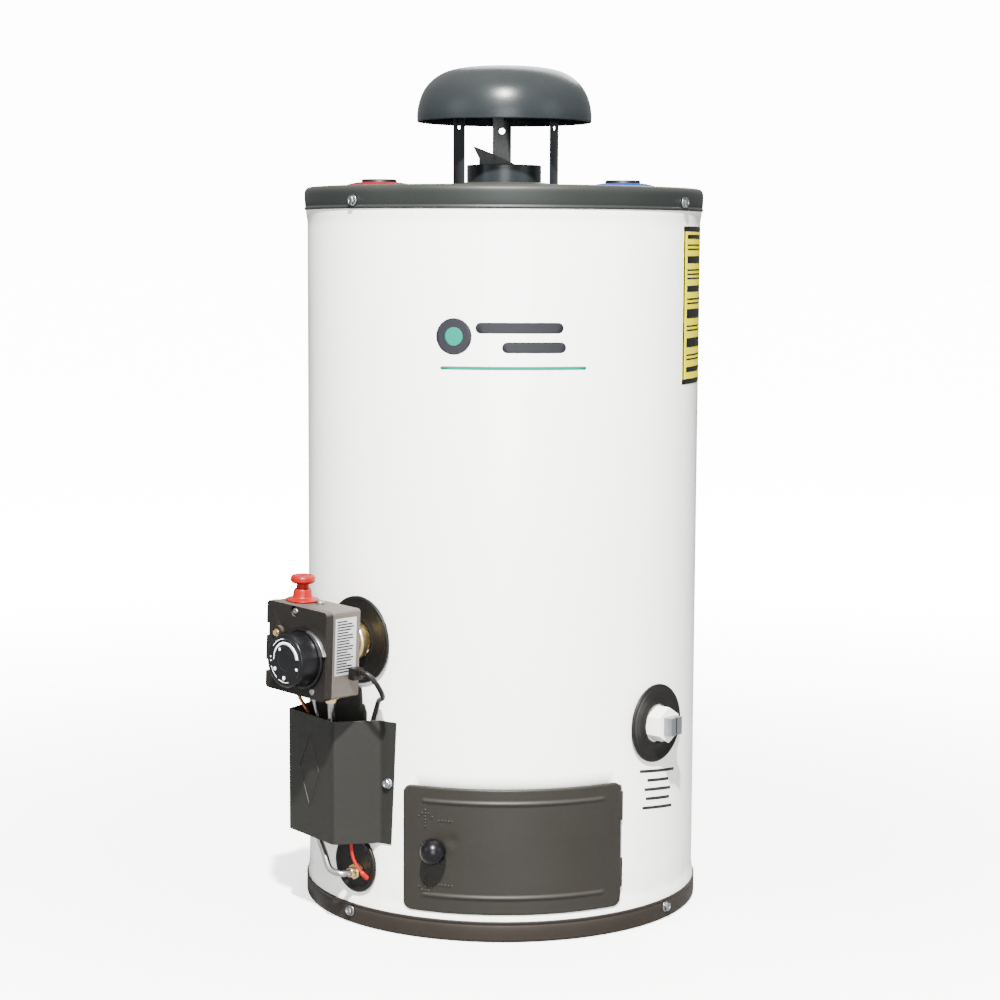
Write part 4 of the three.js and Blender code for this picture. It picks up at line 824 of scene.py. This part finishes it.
def make_hood():
    """The dome's measured line turned round: a straight skirt, a full shoulder and a flat crown,
    with a rolled rim and the same line again one wall inside."""
    line = smooth_line([
        (86.5, 776.2), (86.6, 782), (86.0, 788), (83.9, 797), (80.0, 806), (75.0, 812.8), (67.7, 819.2),
        (59.7, 823.7), (50.0, 826.7), (37.0, 828.7), (18.0, 829.8), (0.001, 830.0),
    ], 60)
    inner = smooth_line([
        (85.2, 776.4), (85.2, 787), (82.6, 796.4), (78.8, 805), (74, 811.8), (67, 818), (59.3, 822.4),
        (37, 827.2), (0.001, 828.6),
    ], 40)
    rim = [(85.4, 775.7), (85.9, 775.4), (86.3, 775.6)]
    profile = np.concatenate([inner[::-1], rim, line])
    profile[[0, -1], 0] = 0
    fine("hood_dome", [revolved(UPRIGHT, profile, 144)], "hood_paint", angle=60)
    for k in (1, 2, 3):
        dressed(f"hood_leg_{k}", "hood_paint", bevel=0.25)
    collar = [(35.95, 690), (37, 690), (37, 732.9), (36.5, 733.5), (35.95, 733)]
    fine("flue_collar", [turned(UPRIGHT, collar, 96, 0.3, closed=True)], "hood_paint", angle=50)
    piece("flue_collar_lap", [pad(172, 724.5, 12, 17, 1, 37.4)], "hood_paint", wall=0.4, bevel=0.15)
    dressed("flue_baffle", "raw_steel", bevel=0.2)


def make_connection(name, x):
    """A coupling with thread crests in its bore, and the coloured dress ring round it."""
    at = UPRIGHT.moved(x)
    outer, crest, root, foot, rise = 17.5, 12.2, 12.9, 652.5, 8.5
    top = BODY_HEIGHT + rise
    turns = np.arange(12)
    thread = np.stack([np.where(turns % 2, root, crest), top - 2 - turns * 0.9], 1)
    mouth = shifted(0, top, [(outer, -1.2), (16.6, 0), (14.2, 0), (13.0, -1.2)])
    body = np.concatenate([[(crest, foot), (outer, foot)], mouth, thread])
    fine(f"{name}_coupling", [revolved(at, body, 64, closed=True)], "black_plastic", angle=40)
    ring = shifted(0, BODY_HEIGHT + GAP, [
        (36, 0), (36, 0.8), (34.5, 1.9), (30, 3.4), (24, 4.8), (21, 5.2), (18.2, 5.2), (18.2, 3.7), (33, 0),
    ])
    fine(f"{name}_ring", [turned(at, ring, 96, 0.8, 4, closed=True)], f"{name}_plastic", angle=50)


# ---- Access door ----

def make_door():
    """Radius over arc and height: the face falls off along its outline by a quarter circle, two
    ribs stand out as rounded steps, and a round dimple sinks in beside the knob."""
    corner, lip = 8.0, 1.8
    end = corner_steps(corner, 10)
    ribs = (DOOR_LOW + 16.5, DOOR_LOW + DOOR_TALL - 14)
    by_ribs = np.concatenate([z - DOOR_LOW + np.linspace(-4.2, 4.2, 15) for z in ribs])
    even = np.linspace(0, DOOR_TALL, 62)
    d = np.unique(np.round(np.concatenate([end, DOOR_TALL - end, by_ribs, even]), 3))
    near = np.minimum(d, DOOR_TALL - d)
    half = (DOOR_HALF - np.where(near < corner, corner_cut(near, corner), 0))[:, None]
    share = np.linspace(-1, 1, 131)
    x = (np.sign(share) * (1 - (1 - np.abs(share)) ** 1.25))[None] * half
    z = DOOR_LOW + d[:, None] + 0 * x
    past_x = np.abs(x) - (DOOR_HALF - corner)
    past_z = np.abs(z - DOOR_LOW - DOOR_TALL / 2) - (DOOR_TALL / 2 - corner)
    from_middle = np.hypot(np.maximum(past_x, 0), np.maximum(past_z, 0))
    edge = corner - np.where((past_x > 0) & (past_z > 0), from_middle, np.maximum(past_x, past_z))
    under = np.maximum(lip - np.maximum(edge, 0), 0)
    rho = DOOR_FACE - (lip - np.sqrt(np.maximum(lip**2 - under**2, 0)))
    for level in ribs:
        across = np.hypot(np.maximum(np.abs(x) - 83, 0), z - level)
        rho = rho + 1.25 * eased(np.clip(1 - across / 3.3, 0, 1))
    knob_x = JACKET * math.sin(math.radians(LATCH_AZIMUTH - DOOR_AZIMUTH))
    across = np.hypot(x - knob_x - 14, z - LATCH_Z - 8.5)
    rho = rho - 0.9 * eased(np.clip(1 - across / 9.5, 0, 1))
    arc = np.arcsin(x / JACKET) * JACKET
    face = wrapped(DOOR_AZIMUTH, arc, z, rho)
    foot = wrapped(DOOR_AZIMUTH, arc, z, JACKET + 0.75)
    body = np.concatenate([foot[:1], face, foot[-1:]])
    side = np.concatenate([foot[:1, :1], foot[:, :1], foot[-1:, :1]])
    skin = sheet(np.concatenate([side, body], 1))
    piece("access_door_skin", [skin], "door_paint", "door", ("access_door",), wall=0.9, angle=50)
    hinge = Place((*spot(HINGE_AZIMUTH, 0, HINGE_RHO, 0)[:2], 0))
    knuckles = []
    for middle in (DOOR_LOW + 33, DOOR_LOW + 98):
        a, b = middle - 14, middle + 14
        knuckles.append(turned(hinge, [(1.2, a), (1.9, a), (1.9, b), (1.2, b)], 32, 0.25, closed=True))
        leaf = [(0, 196.2), (0, 198.0), (0.2, 198.2)]
        knuckles.append(prism(facing(HINGE_AZIMUTH), rectangle(-3.6, -1.0, a, b), leaf, 0.3, 2))
    piece("door_knuckles", knuckles, "door_paint", "door")
    make_door_dots()


def make_door_dots():
    """Two arrows embossed as rows of small domes, one up and one down."""
    apart = 3.1
    arrow = np.array([(0, k * apart) for k in range(-2, 4)] + [(-3, 6.2), (3, 6.2), (-6, 3.1), (6, 3.1)])
    bar = np.array([(k * apart, 0) for k in range(5)])
    dome = [(0, -0.3), (1.25, -0.3), (1.15, 0.3), (0.8, 0.75), (0, 1.0)]
    marks = []
    for level, way in ((DOOR_LOW + 89, 1), (DOOR_LOW + 27, -1)):
        for x, z in np.concatenate([arrow * (1, way) + (-82, level), bar + (-70, level)]):
            azimuth = DOOR_AZIMUTH + math.degrees(math.asin(x / JACKET))
            marks.append(turned(facing(azimuth, z).moved(z=DOOR_FACE), dome, 12, 0.2, 2))
    piece("door_arrows", marks, "door_paint", "door", angle=70)


def make_latch():
    """Ball knob, waisted neck, spindle and tongue on one axis."""
    at = facing(LATCH_AZIMUTH, LATCH_Z)
    back, seat, ball = 188.5, 198.3, 12.4
    t = np.linspace(-1.05, math.pi / 2, 28)
    knob = np.stack([ball * np.cos(t), seat + 13 + ball * np.sin(t)], 1)
    knob[-1, 0] = 0
    stem = [(0, back), (3, back), (3, seat), (6.8, seat)]
    stem += shifted(0, seat, [(7.2, 0.8), (6.2, 2.2), (5.6, 3.4)])
    tongue = prism(at, rectangle(-5, 5, -6, 30), [(0.3, back), (0, 188.8), (0, 189.7), (0.3, 190)], 3, 5)
    shapes = [revolved(at, np.concatenate([stem, knob]), 64), tongue]
    fine("door_latch", shapes, "dial_plastic", "latch", angle=40)


# ---- Discs and fittings on the jacket ----

def dished(at, radius, hole):
    """A disc with a rounded rim, a sunk field and a raised lip round its hole."""
    rim = [(-0.3, 0), (0, 1), (-0.2, 2.3), (-1.3, 3.2), (-3.4, 2.9), (-6, 2.0)]
    lip = [(7, 1.8), (3.6, 2.6), (2.4, 3.4), (0, 3.4)]
    profile = [(hole, ON_JACKET)] + shifted(radius, ON_JACKET, rim) + shifted(hole, ON_JACKET, lip)
    return turned(at, profile, 96, 0.9, 4, closed=True)


def make_drain():
    at = facing(DRAIN_AZIMUTH, DRAIN_Z)
    fine("drain_escutcheon", [dished(at, 38, 18.4)], "black_plastic", angle=50)
    dressed("drain_body", "white_plastic", bevel=0.7)
    dressed("drain_stem", "zinc", body="drain_stem", bevel=0.6)


def make_port():
    """The disc where the supply tube goes in, and the nut with its neck on it."""
    disc = shifted(0, ON_JACKET, [
        (0, 0), (28.3, 0), (28.5, 2.4), (27.4, 3.7), (25.6, 3.7), (24.4, 3.1), (22.6, 1.7), (14, 1.5),
        (0, 1.5),
    ])
    at = facing(PORT_AZIMUTH, PORT_Z)
    fine("port_plate", [turned(at, disc, 96, 0.9, 4)], "black_plastic", angle=50)
    near = JACKET + 2.2
    at = facing(NUT_AZIMUTH, NUT_Z)
    nut = prism(at, regular(6, 6.8), shifted(0, near, [(0.8, 0), (0, 0.6), (0, 6.2), (0.9, 7)]), 0.4, 2)
    neck = shifted(0, near, [(3.5, 6), (5.2, 6), (5.2, 9), (4.5, 12), (3.5, 12)])
    fine("port_nut", [nut, turned(at, neck, 48, 0.4, closed=True)], "brass")


# ---- Gas control ----

def make_valve_mount():
    """The disc and the turned brass neck that carry the gas control."""
    at = facing(VALVE_AZIMUTH, SPUD_Z)
    fine("valve_escutcheon", [dished(at, 42, 18)], "black_plastic", angle=50)
    spud = [
        (0, 151), (16, 151), (16, 201), (19.2, 201.4), (19.5, 203), (19.5, 208), (18.3, 209.5), (18.3, 213),
        (19.5, 214.5), (19.5, 225), (18.8, 226.4), (0, 226.6),
    ]
    fine("valve_spud", [turned(at, spud, 64, 0.6)], "brass", angle=40)


def sector(at, r0, r1, start, stop, z, taper=0.0):
    """A band between two radii over an angle; taper narrows it towards its start."""
    t = np.radians(np.linspace(start, stop, max(int(abs(stop - start) / 3), 6)))
    outer = r0 + (r1 - r0) * np.linspace(1 - taper, 1, len(t))
    rows = [np.stack([r * np.cos(t), r * np.sin(t), 0 * t + z], -1) for r in (r0 + 0 * t, outer)]
    points, faces = sheet(np.stack(rows), flip=True)
    return at(points), faces


def dot(at, x, y, radius, z):
    return revolved(at.moved(x, y), [(0, z - 0.12), (radius, z - 0.12), (radius, z), (0, z)], 24)


def make_dial():
    """A tapered knob with a rounded crown, a sunk field and an inner button; its marks are laid on."""
    at = VALVE.moved(DIAL_X, DIAL_Z)
    near = VALVE_FACE + GAP
    knob = shifted(0, near, [
        (0, 0), (25.4, 0), (25.7, 0.6), (25.6, 4), (25.1, 20.4), (24.5, 22.2), (23.4, 23), (21.6, 22.9),
        (20.6, 22.3), (9.5, 22.2), (8.9, 22.6), (0, 22.7),
    ])
    fine("dial", [turned(at, knob, 96, 0.7, 4)], "dial_plastic", "dial", angle=40)
    z = near + 22.33
    marks = [sector(at, 15.2, 19.2, 184, 12, z, taper=0.8)]
    marks += [sector(at, 20.0, 20.6, start, stop, z) for start, stop in ((146, 98), (202, 238), (246, 286))]
    marks += [dot(at, x, y, radius, z) for x, y, radius in (
        (-7.4, 9.8, 1.3), (16.6, -5.5, 1.4), (-13.6, -9.4, 1.7), (-0.8, -16.4, 1.8), (-20.0, 1.0, 0.7),
        (-19.6, -2.6, 0.7),
    )]
    piece("dial_marks", marks, "pale_print", "dial", wall=0.12, mid=True)
    ring = shifted(0, near, [(26, 0), (28.7, 0), (28.7, 2.4), (28.1, 3.4), (26.3, 3.5), (26, 3.3)])
    fine("dial_index", [turned(at, ring, 96, 0.4, closed=True)], "dial_plastic", angle=40)
    turn = np.radians(np.linspace(12, 74, 14))[:, None]
    away = np.c_[np.cos(turn), np.sin(turn)]
    outline = np.concatenate([away * np.linspace(33.2, 28.9, 14)[:, None], away[::-1] * 26.6])
    wedge = prism(at, outline, shifted(0, near, [(0, 0.1), (0, 3.3), (0.25, 3.65)]), 0.3, 1)
    piece("dial_pointer", [wedge], "bare_aluminium")


def make_button():
    """Red cap on its waisted neck, over a coned collar with a broad flange."""
    right, up, out = VALVE.axes
    at = Place(VALVE((BUTTON_X, 0, BUTTON_RHO)), (right, -out, up))
    top = VALVE_TOP + GAP
    collar = shifted(0, top, [
        (6.4, 0), (16, 0), (16, 0.9), (14.6, 1.7), (10.4, 2.4), (9.4, 3.6), (8.3, 10.2), (7.6, 11), (6.4, 11),
    ])
    fine("button_collar", [turned(at, collar, 72, 0.5, 4, closed=True)], "red_plastic", angle=40)
    button = shifted(0, top, [(0, -6), (5.9, -6)]) + shifted(0, top + 16.5, [
        (5.9, 0), (9.8, 0), (11.6, 1.6), (11.8, 2.8), (11.7, 5.4), (10.6, 7.1), (8.6, 7.6), (7.4, 7.1),
        (0, 6.9),
    ])
    fine("pilot_button", [turned(at, button, 72, 0.7, 4)], "red_plastic", "button", angle=40)
    plug = shifted(0, top, [(0, -1), (4.5, -1), (4.5, 1.4), (3.4, 2.2), (0, 2.4)])
    piece("valve_top_plug", [turned(at.moved(21, 4), plug, 40, 0.5)], "zinc")


def make_control():
    """The body and its cover with a ridge, screws, a blank rating label and the line nuts below."""
    dressed("valve_body", "cast_aluminium", bevel=1.1)
    dressed("valve_cover", "valve_paint", bevel=0.8)
    dressed("test_plug", "brass", bevel=0.25)
    dressed("eco_connector", "black_lead", slot="black_plastic", bevel=0.6)
    slope = shifted(0, VALVE_FACE, [(0, -0.5), (0, 1.2), (1.4, 2.6)])
    ridge = prism(VALVE.rolled(-28), rectangle(-45, -15, 2.5, 9.5), slope, 3, 5)
    pan_head = [(0, 267.1), (3.3, 267.1), (3.3, 268.6), (2.6, 269.4), (1.4, 269.4), (1.2, 268.8), (0, 268.8)]
    flat_head = [(0, 268), (3.2, 268), (3.2, 270.6), (2.4, 271.2), (0, 271.2)]
    high = revolved(VALVE.moved(VALVE_LEFT + 39, VALVE_TOP - 5), pan_head, 32)
    low = revolved(VALVE.moved(18, VALVE_BASE + 7), flat_head, 32)
    piece("valve_cover_ridge", [ridge], "valve_paint")
    piece("valve_cover_screws", [high, low], "zinc")
    right, up, out = VALVE.axes
    side = Place(VALVE((VALVE_RIGHT - 0.5, 0, 0)), (-out, up, right))
    label = prism(side, rectangle(-258, -232, -22, 32), [(0, 0), (0, 0.25), (0.1, 0.3)], 1, 3)
    piece("valve_label", [label], "label_silver", slot="bare_aluminium")
    bars = []
    for k in range(19):
        share = 0.55 + 0.4 * abs(math.sin(k * 2.3))
        z = 29.5 - k * 2.65
        outline = rectangle(-256, -256 + 22 * share, z - 1.3, z)
        bars.append(prism(side, outline, [(0, 0.28), (0, 0.36)], 0.2, 1))
    piece("valve_label_bars", bars, "grey_print")
    nuts = []
    for x, rho, flat, bore in ((8, 10, 6.8, 3.4), (-19, 8, 5.6, 2.4), (-42, 8, 5.6, 2.4)):
        at = Place(VALVE((x, VALVE_BASE, VALVE_BACK + rho)), (right, out, -up))
        nuts.append(prism(at, regular(6, flat), [(0, -0.5), (0, 5.2), (0.8, 6)], 0.4, 2))
        neck = [(bore, 5), (flat * 0.82, 5), (flat * 0.7, 10), (bore, 10)]
        nuts.append(turned(at, neck, 32, 0.3, 2, closed=True))
    piece("valve_line_nuts", nuts, "brass")


# ---- Guard and lines ----

def make_guard():
    """A folded sheet: its plan line, with softened folds, raised from the bottom to the top edge;
    the flanges end on a slight slant."""
    seat = JACKET + 1.3
    flange = GUARD_FLANGE - 3.0
    middle = (GUARD_FOOT + flange) / 2
    right = [(GUARD_HALF, GUARD_FACE)]
    right += [(x, math.sqrt(seat**2 - x**2)) for x in (GUARD_FOOT, middle, flange)]
    line = soften(np.array([(-x, r) for x, r in right[::-1]] + right), 3.2, 5)
    spread = [line[:1]]
    for a, b in zip(line[:-1], line[1:]):
        n = max(int(np.linalg.norm(b - a) / 6), 1)
        spread.append(a + (b - a) * np.linspace(0, 1, n + 1)[1:, None])
    line = np.concatenate(spread)
    x, rho = line[None, :, 0], line[None, :, 1]
    v = np.linspace(0, 1, 21)[:, None]
    lean = (v - 0.5) * GUARD_TALL * math.tan(math.radians(2.6)) + 0.6
    reach = np.clip((np.abs(x) - GUARD_FOOT - 1) / (flange - GUARD_FOOT - 1), 0, 1)
    x = x + np.sign(x) * reach * lean
    rho = np.where(reach > 0, np.sqrt(np.maximum(seat**2 - x**2, 0)), rho)
    z = GUARD_LOW + GUARD_TALL * v + 0 * x
    folded = sheet(facing(GUARD_AZIMUTH)(np.stack([x, z, rho], -1)))
    fine("line_guard", [folded], "guard_paint", wall=1.0, bevel=0.2, angle=50)
    dressed("guard_bracket", "guard_paint", bevel=0.2)
    outer = regular(4, 38 * 0.7, 0) * (0.5, 1)
    inner = inset(outer, 1.8)
    levels = ((outer, -0.2), (inset(outer, 0.5), 0.45), (inset(inner, -0.3), 0.45), (inner, -0.2))
    rows = [np.c_[soften(ring, 2.5, 4, closed=True), np.full(20, rise)] for ring, rise in levels]
    at = facing(GUARD_AZIMUTH).moved(-2, GUARD_LOW + GUARD_TALL * 0.55, GUARD_FACE)
    emboss = (at(np.concatenate(rows)), grid_faces(len(levels), 20, closed=True))
    piece("guard_emboss", [emboss], "guard_paint", angle=50)


def below(x, rho, z):
    """A point seen from the gas control: x right of it, rho out from its back, z up from its base."""
    return VALVE((x, VALVE_BASE + z, VALVE_BACK + rho))


def in_guard(x, rho, z):
    """A point seen from the guard: rho out from its face, z up from its top."""
    return spot(GUARD_AZIMUTH, x, GUARD_FACE + rho, GUARD_TOP + z)


def line(node, route, radius, look, count=90, sides=16):
    """A round bar along a smooth route."""
    fine(node, [swept(smooth_line(route, count), radius, sides)], look)


def make_lines():
    """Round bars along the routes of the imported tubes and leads."""
    nut = ((-27, 22, 16), (-14, 26, 3), (-3, 22.5, 0), (0, 16, 0), (0, 11, 0), (0, 6, 0))
    supply = [
        below(8, 10, -0.3), below(7, 9, -12), in_guard(27, -6.5, -4), in_guard(18, -6.5, -35),
        in_guard(2, -6.5, -80), in_guard(-2, -11, -2 - GUARD_TALL),
    ]
    supply += [spot(NUT_AZIMUTH, x, JACKET + rho, NUT_Z + z) for x, rho, z in nut]
    line("supply_tube", supply, 3.2, "bare_aluminium", 120, 20)
    for name, radius, start, side, look in (
        ("pilot_tube", 2.2, -19, 4, "bare_aluminium"),
        ("thermocouple_lead", 1.7, -42, -4, "copper"),
    ):
        route = [below(start, 8, -0.3), below(start, 7, -11)]
        route += [in_guard(2 * start / 3 + 17, -7, -3), in_guard(start / 3 + 2, -17, -30)]
        route += [spot(LINE_AZIMUTH, x, rho, z) for x, rho, z in (
            (side * 1.5, GUARD_FACE - 20, LINE_HOLE_Z + 22), (side, JACKET + 8, LINE_HOLE_Z + 3),
            (side, JACKET - 6, LINE_HOLE_Z), (side, 145, LINE_HOLE_Z - 10),
            (side, 104.4, BURNER_Z + 7), (side, 84.4, BURNER_Z + 6),
        )]
        line(name, route, radius, look)
    corner = GUARD_FOOT - 6.3
    behind = math.sqrt((JACKET + 3.1) ** 2 - corner**2) - GUARD_FACE
    eco = [
        below(VALVE_RIGHT + 12.8, 8, 25), below(VALVE_RIGHT + 17, 7, 25.5), below(VALVE_RIGHT + 24, 2, 18),
        below(VALVE_RIGHT + 24, -8, 4), in_guard(corner + 12.5, behind + 2, 20),
        in_guard(corner + 6, behind + 0.8, 10), in_guard(corner + 0.5, behind, 0),
        in_guard(corner, behind, -10), in_guard(corner, behind, -30),
        in_guard(corner - 0.5, behind + 0.2, -55),
    ]
    line("eco_lead", eco, 2.4, "black_lead", 90, 18)
    red = [spot(GUARD_AZIMUTH, x, JACKET + rho, z) for x, rho, z in (
        (53, -4, GUARD_TOP - 56), (52, -2, GUARD_TOP - 82), (42, 12, GUARD_LOW + 8),
    )]
    red += [spot(PORT_AZIMUTH, x, JACKET + rho, PORT_Z + z) for x, rho, z in (
        (11, 15, 10), (17, 10, -4), (19.5, 4.6, -11),
    )]
    boot = 1.5 + 0.95 * np.clip((np.linspace(0, 1, 90) - 0.80) / 0.03, 0, 1)
    line("cutoff_lead", red, boot, "red_lead")


# ---- Printed plates on the jacket ----

def make_prints():
    """A plain badge, the rating plate on the right and a note under the drain, all as raised film."""
    film = JACKET + 0.12
    over = film + 0.12
    badge = [pad(-13.5, 571, 34, 34, 17, film)]
    badge += [pad(4.5, 579, 82, 10, 5, film), pad(8.5, 561, 60, 10, 5, film)]
    piece("badge_grey", badge, "dark_print", wall=0.1)
    accent = [pad(3.0, 542, 138, 3.2, 1.6, film), pad(-13.5, 571, 17, 17, 8.5, over)]
    piece("badge_teal", accent, "teal_print", wall=0.1)
    azimuth, z, tall, wide = 77.5, 597.6, 152, math.radians(31) * JACKET
    piece("rating_plate", [pad(azimuth, z, wide, tall, 1, film)], "label_yellow", wall=0.1)
    bars = [pad(azimuth, z + side * 73.5, wide, 5, 0.5, over) for side in (-1, 1)]
    bars += [pad(azimuth + side * 14.7, z, 3.4, tall, 0.5, over) for side in (-1, 1)]
    rows = (
        (66, 4), (58, 1.6), (54, 1.6), (44, 7), (34, 1.6), (30, 1.6), (26, 1.6), (16, 6), (6, 1.6), (2, 1.6),
        (-8, 9), (-20, 1.6), (-24, 1.6), (-36, 9), (-48, 1.6), (-52, 1.6), (-62, 5),
    )
    for k, (rise, thick) in enumerate(rows):
        long = wide * (0.78, 0.6, 0.7, 0.5)[k % 4]
        back = (wide * 0.8 - long) / 2 / JACKET * 57.3  # in degrees, to the left of the middle
        bars.append(pad(azimuth - back, z + rise, long, thick, 0.4, over))
    piece("rating_plate_print", bars, "label_black", wall=0.1)
    rows = ((149.5, 58), (140.5, 36), (131.5, 44), (122.5, 40), (113.5, 50))
    note = [pad(51.6, rise, long, 3.0, 0.8, film, 0.12, 6) for rise, long in rows]
    piece("drain_note", note, "grey_print", wall=0.1)


# ---- The heater ----

make_camera()
make_studio()
for entry in frame["record"]["subparts"]:
    node = frame["nodes"][entry["node"]]
    node.data.materials.clear()
    node.data.materials.append(FINISHES[entry["material_slot"]])
make_jacket()
make_top_cover()
make_base_pan()
for k, azimuth in enumerate(TOP_SCREWS):
    make_screw(f"top_cover_screw_{k + 1}", azimuth, TOP_EDGE + 7.5, BAND + GAP)
for k, azimuth in enumerate(BASE_SCREWS):
    make_screw(f"base_screw_{k + 1}", azimuth, BASE_BAND - 7.5, BAND + GAP)
guard_turn = math.degrees(math.asin((GUARD_FOOT + GUARD_FLANGE) / 2 / JACKET))
for k, side in enumerate((-1, 1)):
    azimuth = GUARD_AZIMUTH + side * guard_turn
    make_screw(f"guard_screw_{k + 1}", azimuth, GUARD_LOW + GUARD_TALL / 2, JACKET + 2)
make_hood()
make_connection("hot", HOT_X)
make_connection("cold", COLD_X)
make_door()
make_latch()
make_drain()
make_port()
make_valve_mount()
make_control()
make_dial()
make_button()
make_guard()
make_lines()
make_prints()
